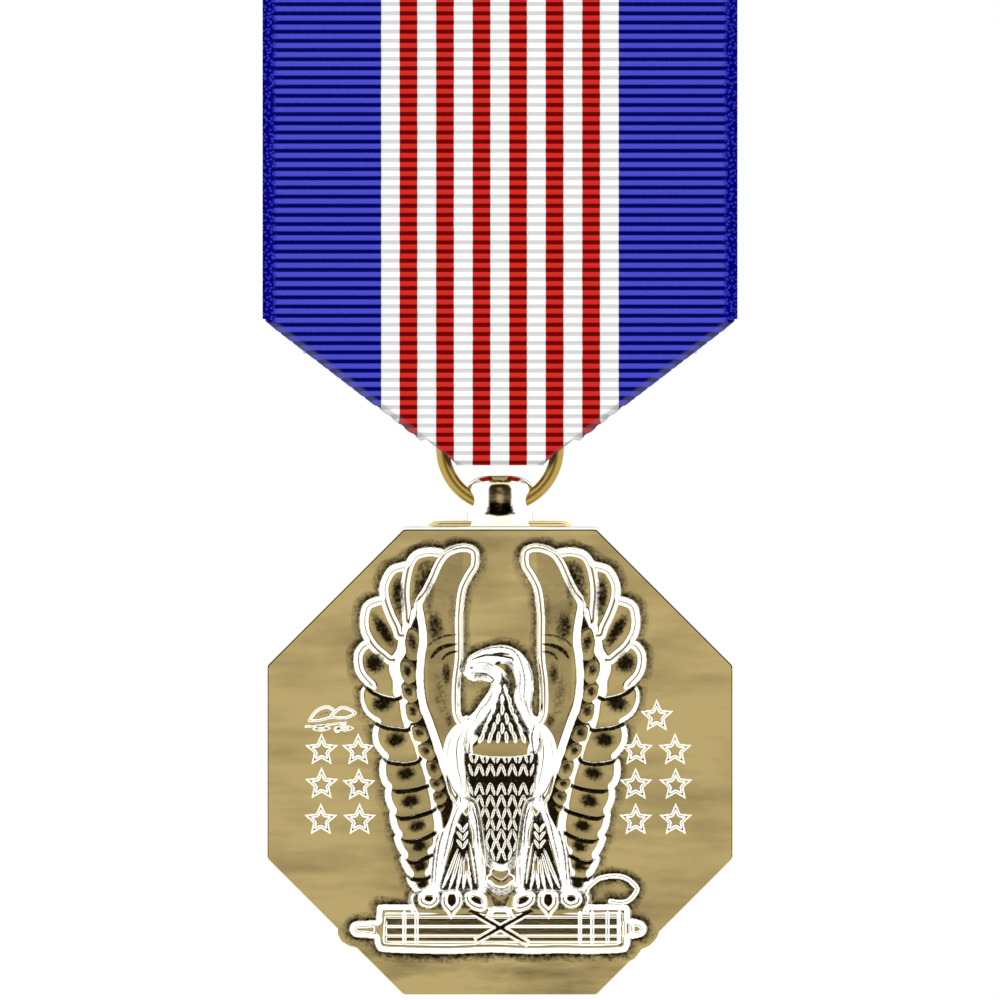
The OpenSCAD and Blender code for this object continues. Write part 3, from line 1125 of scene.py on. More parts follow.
@dataclass(frozen=True)
class Grosgrain:
    """Ribbed cloth: blue sides and a middle of white and red stripes.

    The attribute "place" gives each point's place across the strip and along it, in millimetres.

    Args:
        name: the material's name.
        pitch: distance between ribs.
        stripe: width of one stripe.
        stripes: number of stripes in the middle.
        shoulder: length along the strip at which the folded slants start.
        slope: width lost on each side per millimetre along the slants.
        half: half of the strip's width.
        drop: length of the slanted part.
    """

    name: str = "grosgrain"
    pitch: float = 0.675
    stripe: float = 1.346
    stripes: int = 13
    shoulder: float = 30.0
    slope: float = 1.3
    half: float = 17.5
    drop: float = 10.7

    def material(self) -> bpy.types.Material:
        """Makes the material.

        Returns:
            The material.
        """
        made = bpy.data.materials.new(self.name)
        made.use_nodes = True
        n = Nodes(made.node_tree)
        out = n.add("ShaderNodeOutputMaterial")
        shader = n.add("ShaderNodeBsdfPrincipled")
        place = n.add("ShaderNodeAttribute", attribute_name=PLACE)
        parts = n.add("ShaderNodeSeparateXYZ")
        n.put(parts.inputs[0], place.outputs["Vector"])
        across, along = parts.outputs["X"], parts.outputs["Y"]
        middle = self.stripe * self.stripes / 2
        # Stripes: even ones are white and odd ones red, with slightly uneven edges.
        wave = n.add("ShaderNodeTexNoise", noise_dimensions="2D")
        n.put(wave.inputs["Vector"], place.outputs["Vector"])
        wave.inputs["Scale"].default_value = 1.4
        wobble = n.math("MULTIPLY", n.math("SUBTRACT", wave.outputs["Fac"], 0.5), 0.05)
        shifted = n.math("ADD", n.math("ADD", across, wobble), middle)
        turn = n.math("MODULO", shifted, 2 * self.stripe)
        soft = 0.03
        is_red = n.math(
            "MULTIPLY",
            n.band(turn, self.stripe - soft, self.stripe + soft),
            n.band(turn, 2 * self.stripe, 2 * self.stripe - 2 * soft),
        )
        side = n.math("ABSOLUTE", n.math("ADD", across, wobble))
        is_blue = n.band(side, middle - soft, middle + soft)
        # Ribs: a crest with a painted highlight and a deep groove with painted shade.
        phase = n.math("FRACT", n.math("DIVIDE", along, self.pitch))
        crest = n.math(
            "SUBTRACT", 1.0, n.math("MULTIPLY", n.math("ABSOLUTE", n.math("SUBTRACT", phase, 0.5)), 2.0)
        )
        thread = n.add("ShaderNodeTexNoise", noise_dimensions="2D")
        fine = n.add("ShaderNodeMapping")
        n.put(fine.inputs["Vector"], place.outputs["Vector"])
        fine.inputs["Scale"].default_value = (9.0, 1.2, 1.0)
        n.put(thread.inputs["Vector"], fine.outputs["Vector"])
        thread.inputs["Scale"].default_value = 1.0
        thread.inputs["Detail"].default_value = 3.0
        fray = n.math("MULTIPLY", n.math("SUBTRACT", thread.outputs["Fac"], 0.5), 0.16)
        frayed = n.math("ADD", crest, fray)
        lit = n.band(frayed, 0.34, 0.58)
        blue = n.mix(lit, rgba(from_srgb(0, 0, 84)), rgba(from_srgb(68, 72, 194)))
        red = n.mix(lit, rgba(from_srgb(104, 0, 0)), rgba(from_srgb(200, 40, 31)))
        white = n.mix(lit, rgba(from_srgb(206, 206, 205)), rgba(from_srgb(251, 251, 251)))
        pale = n.mix(is_red, white, red)
        body = n.mix(is_blue, pale, blue)
        # The woven edge breaks the ribs up into small loops.
        cells = n.add("ShaderNodeTexVoronoi", voronoi_dimensions="2D")
        n.put(cells.inputs["Vector"], place.outputs["Vector"])
        cells.inputs["Scale"].default_value = 3.4
        loops = n.mix(
            n.band(cells.outputs["Distance"], 0.08, 0.42),
            rgba(from_srgb(52, 54, 196)),
            rgba(from_srgb(0, 0, 112)),
        )
        edge = n.band(n.math("ADD", side, n.math("MULTIPLY", wobble, 6.0)), 16.35, 16.85)
        colour = n.mix(edge, body, loops)
        # The slants are creased: the cloth is in shade beside them.
        run = n.math("SUBTRACT", along, self.shoulder)
        lost = n.math("MULTIPLY", n.math("MINIMUM", run, self.drop), self.slope)
        inner = n.math("SUBTRACT", n.math("SUBTRACT", self.half - 0.5, lost), side)
        in_front = n.math("MULTIPLY", n.band(run, 0.0, 0.4), n.band(run, self.drop + 1.2, self.drop + 0.8))
        crease = n.math("MULTIPLY", n.band(inner, 0.55, 0.05), in_front)
        colour = n.mix(n.math("MULTIPLY", crease, 0.42), colour, rgba((0.12, 0.12, 0.16)))
        n.put(shader.inputs["Base Color"], colour)
        shader.inputs["Roughness"].default_value = 0.75
        shader.inputs["Specular IOR Level"].default_value = 0.03
        n.put(out.inputs["Surface"], shader.outputs["BSDF"])
        return made


@dataclass(frozen=True)
class Plain:
    """A plain matt finish.

    Args:
        name: the material's name.
        colour: linear reflectance.
        roughness: of the surface.
    """

    name: str
    colour: Rgb
    roughness: float = 0.6

    def material(self) -> bpy.types.Material:
        """Makes the material, or returns it if it is made.

        Returns:
            The material.
        """
        found = bpy.data.materials.get(self.name)
        if found:
            return found
        made = bpy.data.materials.new(self.name)
        made.use_nodes = True
        shader = made.node_tree.nodes["Principled BSDF"]
        shader.inputs["Base Color"].default_value = rgba(self.colour)
        shader.inputs["Roughness"].default_value = self.roughness
        return made


GOLD = Metal("gold_plate", (0.86, 0.70, 0.36), roughness=0.07, grain=0.05, streak=2.5, mottled_with_painted_light=True)
RING_GOLD = Metal("ring_gold", (0.42, 0.29, 0.075), roughness=0.28, grain=0.04)
BRASS = Metal("satin_brass", (0.78, 0.60, 0.28), roughness=0.25, grain=0.1, mottled_with_painted_light=True)
STEEL = Metal("nickel", (0.66, 0.65, 0.64), roughness=0.15, grain=0.05)
CARD = Plain("card", (0.78, 0.76, 0.68))
THREAD = Plain("thread", (0.75, 0.75, 0.78))


def dress(
    obj: bpy.types.Object,
    finish: Metal | Plain | Grosgrain,
    slot: Slot,
    body: Body | None,
    nodes: Iterable[str] = (),
) -> bpy.types.Object:
    """Gives a piece its material, body and the CAD nodes it stands for.

    Args:
        obj: the piece.
        finish: its finish.
        slot: the record's slot; not used.
        body: the body that it rides on, or None for a piece that rides on no body.
        nodes: CAD nodes that it replaces.

    Returns:
        The piece.
    """
    obj.data.materials.clear()
    obj.data.materials.append(finish.material())
    for node in nodes:
        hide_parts(node)
    if body is not None:
        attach(obj, body.value)
    size = len(obj.data.polygons)
    LOG.info("%-24s %7d faces, %s", obj.name, size, finish.name)
    return obj


# ---------------------------------------------------------------- the struck medallion


@dataclass(frozen=True)
class Feather:
    """One of a wing's long feathers.

    Args:
        outline: its outline.
        spot: middle of the soft swelling on its vane, and of the painted shade on a feather without a bead.
        level: height of its vane.
        dome: the swelling's height.
        spread: the swelling's radius, which also sizes that painted shade.
        crest: height of the bead along its edge, or 0 for a shingled feather without one.
        bead_to: u at which a bead that only follows the outer edge ends.
    """

    outline: Outline
    spot: Point
    level: float = 0.24
    dome: float = 0.05
    spread: float = 0.42
    crest: float = 0.0
    bead_to: float | None = None


# fmt: off
PRIMARIES = (
    Feather(((-3.95, 15.55), (-4.7, 15.8), (-5.55, 15.8), (-6.4, 15.5), (-6.9, 14.85), (-7.2, 13.85),
            (-7.35, 12.55), (-7.25, 11.2), (-7.05, 10.05), (-5.8, 9.9), (-5.1, 11.05), (-4.65, 12.1),
            (-4.15, 13.45), (-3.6, 14.75)), (-5.6, 13.3), level=0.26, dome=0.04, spread=0.6,
            crest=0.38),
    Feather(((-6.6, 14.75), (-7.4, 14.7), (-8.15, 14.4), (-8.65, 13.7), (-8.9, 12.85), (-8.8, 11.9),
            (-8.45, 10.85), (-8, 9.9), (-7.55, 9), (-6.1, 9.3), (-6.2, 10.85), (-6.4, 12.3), (-6.2,
            13.75)), (-7.75, 12.4), level=0.22, dome=0.04, spread=0.55, crest=0.34),
    Feather(((-8.5, 12.25), (-9.25, 12.15), (-10, 11.75), (-10.3, 11), (-10.35, 10.1), (-10.15, 9.25),
            (-9.6, 8.35), (-8.9, 7.7), (-7.95, 7.15), (-6.3, 7.9), (-6.8, 9.15), (-7.4, 10.8), (-7.9,
            12.0)), (-9.2, 9.9), level=0.18, dome=0.05, spread=0.6, crest=0.3),
    Feather(((-9.5, 9.15), (-10.2, 8.85), (-10.7, 8.2), (-10.8, 7.4), (-10.6, 6.5), (-10.05, 5.75),
            (-9.25, 5.15), (-8.35, 4.8), (-7.55, 4.75), (-7.05, 5.3), (-6.9, 7.2), (-7.9, 8.6), (-9.0,
            9.3)), (-9.1, 7), level=0.15, dome=0.02, spread=0.6,
            crest=0.27, bead_to=-8.9),
    Feather(((-9.6, 5.75), (-10.2, 5.4), (-10.3, 4.6), (-10, 3.7), (-9.4, 3.1), (-8.5, 2.65), (-7.65,
            2.5), (-6.75, 2.5), (-6.45, 3.4), (-6.75, 4.6), (-7.65, 5.3)), (-8.6, 4.35), level=0.2,
            dome=0.06, spread=0.5),
    Feather(((-8.6, 3.1), (-9.1, 2.95), (-9.4, 2.3), (-9.35, 1.4), (-8.95, 0.7), (-8.35, 0.15), (-7.5,
            -0.05), (-6.6, -0.05), (-5.95, 0.3), (-6.15, 1.5), (-6.6, 2.5), (-7.35, 2.9)), (-7.7, 1.65),
            level=0.22, dome=0.055, spread=0.45),
    Feather(((-8.1, 0.55), (-8.75, 0.25), (-8.9, -0.5), (-8.8, -1.3), (-8.45, -1.9), (-7.8, -2.1),
            (-6.75, -2.05), (-5.85, -1.85), (-5.15, -1.45), (-5.35, -0.45), (-5.8, 0.45), (-6.75, 0.4)),
            (-6.9, -0.85), level=0.24, dome=0.05, spread=0.42),
    Feather(((-7.65, -1.6), (-8.35, -1.75), (-8.5, -2.5), (-8.3, -3.25), (-7.85, -3.9), (-7.2, -4.1),
            (-6.25, -3.95), (-4.9, -3.45), (-4.85, -2.65), (-5.15, -1.6), (-6.15, -1.7)), (-6.6, -2.85),
            level=0.24, dome=0.05, spread=0.42),
    Feather(((-7.35, -3.45), (-8.1, -3.6), (-8.1, -4.4), (-7.85, -5.15), (-7.4, -5.65), (-6.75, -5.8),
            (-5.7, -5.6), (-4.7, -5), (-4.6, -4.1), (-4.85, -3.4), (-6.15, -3.65)), (-6.1, -4.7),
            level=0.24, dome=0.045, spread=0.38),
    Feather(((-7.1, -5.3), (-7.8, -5.45), (-7.65, -6.2), (-7.25, -6.9), (-6.75, -7.3), (-6.15, -7.3),
            (-5.3, -6.9), (-4.6, -6.45), (-4.4, -5.6), (-4.7, -4.9), (-5.85, -5.3)), (-5.9, -6.2),
            level=0.24, dome=0.04, spread=0.36),
    Feather(((-6.8, -6.75), (-7.35, -7), (-7.2, -7.7), (-6.75, -8.4), (-6.15, -8.6), (-5.35, -8.45),
            (-4.85, -7.95), (-4.7, -6.9), (-5.15, -6.55), (-6, -6.9)), (-5.9, -7.7), level=0.24,
            dome=0.035, spread=0.34),
    Feather(((-6.45, -8.1), (-6.9, -8.4), (-6.7, -9.1), (-6.15, -9.7), (-5.4, -9.7), (-4.85, -9.25),
            (-4.85, -8.4), (-5.4, -8.15)), (-5.7, -9), level=0.24, dome=0.03, spread=0.3),
)
COVERT_BED = ((-6.3, 11.5), (-7.05, 10.35), (-7.35, 9), (-7.5, 8.25), (-7.9, 7.55), (-7.95, 6.8), (-7.7,
    6.05), (-7.65, 5.3), (-7.35, 4.6), (-7.1, 3.1), (-6.45, 1.65), (-5.95, 0.15), (-5.5, -1.3), (-5.15,
    -2.8), (-4.9, -4.25), (-4.6, -5.6), (-3.5, -5.15), (-2.75, -2.8), (-2.5, 1.65), (-3.65, 6.05), (-4.4,
    9), (-5, 11.2))
COVERTS = (
    ((-6.7, 9.8), (-6.95, 9.15), (-6.95, 8.4), (-6.75, 7.75), (-6.25, 7.6), (-5.85, 8.1), (-5.85, 9),
     (-6.15, 9.65)),
    ((-7.2, 7.45), (-7.35, 6.95), (-7.2, 6.2), (-6.7, 5.85), (-6.3, 6.15), (-6.3, 6.85), (-6.7, 7.4)),
    ((-7.2, 5.75), (-7.25, 5.25), (-7.05, 4.65), (-6.55, 4.45), (-6.15, 4.75), (-6.25, 5.4), (-6.7, 5.75)),
    ((-6.9, 4.3), (-6.95, 3.75), (-6.75, 3.1), (-6.25, 2.95), (-5.85, 3.35), (-5.95, 3.9), (-6.4, 4.3)),
    ((-6.45, 2.6), (-6.45, 2), (-6.25, 1.55), (-5.7, 1.5), (-5.35, 1.85), (-5.55, 2.45), (-6, 2.65)),
    ((-6, 1.25), (-6, 0.75), (-5.7, 0.3), (-5.2, 0.15), (-4.85, 0.55), (-5, 1.05), (-5.5, 1.35)),
    ((-5.4, 0), (-5.4, -0.55), (-5.15, -1.1), (-4.6, -1.15), (-4.3, -0.7), (-4.45, -0.2), (-4.9, 0.1)),
    ((-5.15, -1.25), (-5.15, -1.75), (-4.85, -2.1), (-4.4, -2.05), (-4.15, -1.7), (-4.4, -1.3)),
    ((-4.9, -2.25), (-4.9, -2.8), (-4.6, -3.15), (-4.15, -2.95), (-4, -2.5), (-4.4, -2.2)),
    ((-4.7, -3.15), (-4.55, -3.65), (-4.25, -3.6), (-4.15, -3.25)),
)
SMALL_COVERTS = (
    ((-4, 0.4), (-4.1, -0.3), (-3.9, -0.8), (-3.5, -0.55), (-3.5, 0.1)),
    ((-3.8, -0.95), (-3.8, -1.55), (-3.6, -1.85), (-3.3, -1.55), (-3.35, -1)),
    ((-3.65, -1.9), (-3.6, -2.4), (-3.3, -2.4), (-3.2, -1.95)),
)
WING_ARM = ((-1.5, 15.1), (-1.65, 15.7), (-2.2, 16.05), (-2.9, 16.1), (-3.65, 15.9), (-4.3, 15.5), (-4.85,
    14.7), (-5.3, 13.7), (-5.8, 12.7), (-6.15, 12.1), (-6.3, 11.5), (-6.1, 10.35), (-5.95, 9), (-6.1,
    7.9), (-6.2, 6.65), (-6.15, 5.3), (-5.95, 4.05), (-5.5, 2.8), (-5.05, 1.5), (-4.6, 0.15), (-4.15,
    -1.15), (-3.75, -2.5), (-3.2, -3.25), (-2.7, -2.4), (-2.5, -0.55), (-2.2, 1.25), (-2.1, 2.5), (-2.6,
    3.05), (-2.9, 3.7), (-2.95, 4.95), (-2.9, 6.05), (-2.75, 7.3), (-2.7, 8.25), (-2.7, 9.3), (-2.7,
    10.85), (-2.5, 12.55), (-2.05, 13.55), (-1.6, 14.3))
# Dark streaks of painted shade on the upper feathers: middle, half sizes, turn, amount.
SHADE_STREAKS = (
    ((-5.57, 13.4), (0.5, 1.7), -0.48, 0.85),
    ((-7.5, 12.2), (0.5, 1.6), 0.05, 0.85),
    ((-8.6, 9.7), (0.45, 1.5), 0.55, 1.0),
    ((-9.25, 7.3), (0.75, 0.8), 0.6, 1.0),
)
# Spots of painted shade on the arm: middle, half sizes, turn, amount.
ARM_SHADE_SPOTS = (
    ((-4.75, 10.0), (0.6, 1.2), 0.1, 0.8),
    ((-5.2, 12.3), (0.4, 1.6), -0.1, 0.5),
    ((-3.5, 11.0), (0.4, 1.6), 0.0, 0.35),
    ((-3.95, 6.5), (0.35, 0.9), 0.0, 0.8),
    ((-4.4, 4.9), (0.5, 1.8), 0.15, 0.4),
    ((-3.75, 3.1), (0.35, 0.6), 0.2, 0.65),
)
# Lines of painted shade on the arm: path, width, amount.
ARM_LINES = (
    (((-5.35, 8.5), (-4.8, 9.0), (-4.0, 9.3), (-3.1, 9.4)), 0.2, 0.7),
    (((-5.1, 7.6), (-4.7, 8.15), (-4.0, 8.55), (-3.1, 8.7)), 0.34, 0.85),
    (((-4.3, 7.5), (-3.95, 7.9), (-3.5, 8.1), (-3.1, 8.15)), 0.24, 0.75),
    (((-5.7, 7.2), (-5.6, 5.6), (-5.3, 4.2), (-4.6, 2.6)), 0.1, 0.5),
)
# fmt: on


@dataclass
class Wing:
    """A raised wing: outer feathers, a bed of coverts, and the arm with its rolled leading edge.

    Args:
        name: the piece's name.
        mirror: whether it is the wing on the viewer's right.
    """

    name: str
    mirror: bool = False

    def carve(self) -> Relief:
        """Works the wing on the viewer's left in wax.

        Returns:
            The height field.
        """
        wax = Relief((-11.9, -10.9), (-0.3, 17.2))
        for feather in reversed(PRIMARIES):
            if feather.spot[1] < 8:
                self._shadow(wax, feather)
            if feather.crest:
                under = feather.level - 0.04
                section = Leaf(under, feather.level, feather.crest, 0.66, bead_to=feather.bead_to)
                wax.lay(feather.outline, section, 0.08)
            else:
                section = Pillow(feather.level, 0.04, 0.42, 0.4 * feather.dome, feather.spot)
                wax.lay(feather.outline, section, 0.08)
                # Painted shade: a dark spot on the vane.
                wax.paint_shade_spot(feather.spot, (1.75 * feather.spread, 1.25 * feather.spread), 0.3)
        # Painted shade inside the two top feathers, and streaks of it down the upper feathers.
        for feather in PRIMARIES[:2]:
            wax.paint_shade(feather.outline, 0.62, 0.5, 0.95)
        for middle, size, turn, amount in SHADE_STREAKS:
            wax.paint_shade_spot(middle, size, turn, amount)
        wax.swell(COVERT_BED, Terrace(foot=0.24, top=0.46, slope=0.6), 0.03, 0.4)
        # Painted shade over the bed of coverts, inside its rim.
        wax.paint_shade(COVERT_BED, 1.0, 0.15, 0.66)
        for scale in COVERTS + SMALL_COVERTS:
            middle = np.mean(scale, 0)
            full = middle + (np.array(scale) - middle) * (1.22, 1.12)
            wax.lay(full, Pillow(0.475, 0.02, 0.3, 0.0), 0.06)
            tall = np.ptp(full[:, 1])
            # Painted shade: a dark spot in each covert.
            wax.paint_shade_spot((middle[0], middle[1] + 0.1), (0.36, 0.3 * tall), 0.25, 0.85)
        wax.lay(WING_ARM, self._arm_section, 0.08)
        self._arm(wax)
        outlines = [feather.outline for feather in PRIMARIES] + [COVERT_BED, WING_ARM]
        rim = [spline(outline, True) for outline in outlines]
        gap = union_gap(wax, rim)
        v = wax.v[:, None]
        slope = 0.42 + 0.33 * smooth((v - 2.0) / 4.0)
        lead_in = smooth((wax.u[None, :] + 4.6) / 0.6)
        skirted(wax, gap, slope + 0.3 * lead_in, 11)
        return wax

    def _shadow(self, wax: Relief, feather: Feather) -> None:
        """Darkens the crescent under a feather's lower edge, where it overlaps the next one.

        Args:
            wax: the wing's height field.
            feather: the feather.
        """
        w = wax.near(spline(feather.outline, True), True, 0.5)
        low = smooth((feather.spot[1] - 0.1 - w.v) / 0.6)
        low = low * smooth((w.u - feather.spot[0] + 1.7) / 1.2)
        dark = smooth((0.3 * low + w.d) / 0.09) * low
        wax.tone[w.at] = np.maximum(wax.tone[w.at], dark)

    def _arm_section(self, n: Near) -> np.ndarray:
        """Section of the arm and its blade.

        The leading edge and the blade's edge are rolled into a bead, and the side towards the
        coverts slopes down from them.

        Args:
            n: the window.

        Returns:
            The height.
        """
        rolled = np.maximum(smooth((n.u + 4.3) / 0.8), smooth((n.v - 11.6) / 1.2))
        behind = smooth((-n.u - 3.2) / 0.7)
        foot = 0.46 * (1 - rolled) + rolled * (0.1 + 0.1 * behind)
        level = 0.15 + 0.1 * np.clip((-2.7 - n.u) / 2.6, 0, 1)
        e = np.clip(n.d / 0.6, 0, 1)
        return foot + (level - foot) * e + 0.15 * rolled * np.sin(math.pi * e)

    def _arm(self, wax: Relief) -> None:
        """Paints shade into the arm's hollows and draws the wrist's arcs as lines of painted shade.

        Args:
            wax: the wing's height field.
        """
        for middle, size, turn, amount in ARM_SHADE_SPOTS:
            wax.paint_shade_spot(middle, size, turn, amount)
        for path, width, amount in ARM_LINES:
            wax.line(path, width, amount)

    def build(self) -> bpy.types.Object:
        """Makes the wing.

        Returns:
            The piece.
        """
        wax = self.carve()
        if self.mirror:
            wax.u = -wax.u[::-1]
            wax.h = wax.h[:, ::-1]
            wax.tone = wax.tone[:, ::-1]
        return strike(wax, self.name, CAD.field_y)


# fmt: off
TORSO = ((-2.2, 2), (-2.5, 0.15), (-2.5, -2.05), (-2.2, -3.9), (-1.6, -5.35), (-1.15, -6.45), (-0.7,
    -7.35), (0.1, -7.8), (0.9, -7.35), (1.35, -6.45), (1.8, -5.35), (2.4, -3.9), (2.7, -2.05), (2.7,
    0.15), (2.4, 2))
TAIL = ((-1.2, -6.6), (-1.25, -7.8), (-1.2, -8.7), (-0.7, -9.5), (0.1, -9.8), (0.9, -9.5), (1.35, -8.7),
        (1.3, -7.8), (1.2, -6.6))
HEAD = ((-2.6, 7.25), (-2.75, 6.7), (-2.55, 6.3), (-2.1, 6), (-1.5, 6), (-0.95, 5.95), (-0.65, 5.7),
    (-0.95, 5.05), (-1.45, 4.35), (-1.9, 3.7), (-2.35, 3.2), (-2.5, 2), (-2.5, 0.75), (-1.6, 0.4), (0.05,
    0.25), (1.95, 0.4), (3, 0.9), (3.05, 2), (2.6, 3.1), (2.3, 4.15), (2.45, 5.15), (2.45, 6.05), (2.25,
    6.95), (1.8, 7.75), (1.2, 8.3), (0.4, 8.6), (-0.55, 8.55), (-1.45, 8.25), (-2.2, 7.85))
SHOULDER = ((-2.35, 3.4), (-3, 3.1), (-3.6, 2.65), (-4.1, 1.95), (-4.4, 0.9), (-4.4, -0.3), (-4.15, -1.3),
    (-3.75, -2.2), (-3.05, -2.95), (-2.5, -3.4), (-1.9, -2.8), (-1.75, -1.3), (-1.9, 0.15), (-2.05, 1.5),
    (-1.9, 2.5))
# Lines of painted shade on the head and neck: path, width, amount.
HEAD_LINES = (
    (((-2.38, 7.6), (-1.1, 8.3), (0.1, 8.45), (0.99, 8.2), (1.53, 7.4), (1.83, 6.06), (1.78, 4.58),
      (2.2, 3.62)), 0.11, 0.8),
    (((-2.2, 7.5), (-0.97, 7.88), (0.74, 7.7), (0.99, 7.4)), 0.16, 1.0),
    (((-0.6, 7.95), (0.1, 8.0), (0.74, 7.92)), 0.16, 1.0),
    (((-2.2, 6.57), (-1.1, 6.5), (-0.49, 6.06), (-0.85, 5.7)), 0.12, 0.9),
    (((-0.73, 5.7), (-1.7, 4.36), (-2.5, 3.48)), 0.14, 0.9),
    (((-1.0, 5.7), (-1.75, 4.75), (-2.3, 4.0)), 0.08, 0.6),
    (((-1.9, 7.25), (-1.3, 7.35), (-0.7, 7.2), (-0.4, 6.9)), 0.1, 0.7),
    (((-1.5, 6.9), (-1.0, 6.75), (-0.6, 6.45)), 0.1, 0.6),
    (((0.1, 6.9), (0.15, 6.2), (-0.1, 5.5), (-0.2, 4.9)), 0.12, 0.8),
    (((-0.5, 5.3), (-0.8, 4.6), (-1.3, 3.9)), 0.1, 0.7),
    (((-1.1, 4.3), (-1.6, 3.6), (-1.9, 2.9)), 0.1, 0.7),
    (((1.9, 4.9), (2.0, 4.0), (2.3, 3.2)), 0.1, 0.7),
    (((-3.4, 2.2), (-3.8, 1.2), (-3.9, 0.0)), 0.1, 0.5),
    (((3.4, 2.2), (3.8, 1.2), (3.95, 0.0)), 0.1, 0.5),
    (((1.25, 7.4), (1.5, 6.4), (1.45, 5.2), (1.7, 4.0)), 0.1, 0.6),
    (((-2.4, 3.2), (-1.6, 2.9), (-1.2, 2.3), (-1.4, 1.3)), 0.1, 0.5),
    (((2.6, 2.9), (2.35, 1.9), (2.5, 0.6), (2.75, -1.0)), 0.14, 0.8),
    (((-2.2, 1.6), (-2.35, 0.4), (-2.45, -1.2), (-2.2, -2.4)), 0.14, 0.7),
)
# Outline of the painted shade on the inner thigh.
THIGH_INNER = ((-2.75, -3.6), (-3.15, -4.4), (-3.5, -5.6), (-3.9, -7.2), (-4.4, -9.3), (-3.4, -9.4),
    (-2.3, -9.4), (-1.6, -9.3), (-1.75, -7.6), (-1.95, -6), (-2.15, -4.6), (-2.4, -3.7))
THIGH_TUFT = ((-2.7, -2.9), (-2.8, -3.6), (-2.5, -4.0), (-2.2, -3.6), (-2.3, -2.9))
THIGH_STROKES = (
    ((-3.4, -5.2), (-3.75, -6.4), (-4.15, -7.9)),
    ((-3.1, -6.4), (-3.65, -7.9), (-4.25, -9.3)),
    ((-2.95, -6.7), (-3.3, -8.0), (-3.75, -9.4)),
    ((-2.8, -7.0), (-2.95, -8.2), (-3.2, -9.5)),
    ((-2.6, -7.0), (-2.6, -8.2), (-2.7, -9.4)),
    ((-2.45, -6.6), (-2.35, -8.0), (-2.1, -9.4)),
    ((-2.25, -6.0), (-2.05, -7.3), (-1.8, -8.9)),
    ((-2.3, -4.3), (-2.05, -5.2), (-2.0, -6.3)),
)
# Lines of painted shade on the thighs: path, width, amount.
THIGH_LINES = (
    (((-3.14, -2.8), (-3.73, -3.67), (-4.3, -4.55), (-4.7, -5.7), (-4.9, -7.2), (-5.05, -9.27)), 0.22, 0.75),
    (((-3.3, -3.4), (-3.95, -4.5), (-4.4, -5.8), (-4.65, -7.2), (-4.8, -9.2)), 0.14, 0.8),
    (((-1.5, -3.2), (-1.3, -5.2), (-1.3, -7.4), (-1.35, -9.2)), 0.22, 0.4),
    (((-3.0, -3.1), (-3.5, -4.4), (-3.85, -5.8), (-4.3, -7.8)), 0.12, 0.8),
    (((-2.1, -3.1), (-1.75, -4.4), (-1.6, -6.4)), 0.12, 0.9),
)
THIGH = ((-2.75, -2.55), (-3.45, -3), (-4, -3.8), (-4.45, -4.7), (-4.85, -5.75), (-5.05, -6.9), (-5.2,
    -8.25), (-5.3, -9.4), (-4.7, -9.85), (-3.5, -9.65), (-2.35, -9.65), (-1.45, -9.85), (-0.95, -9.4),
    (-0.95, -7.95), (-1, -6.45), (-1.15, -5.15), (-1.35, -3.8), (-1.65, -2.85), (-2.2, -2.5))
# fmt: on


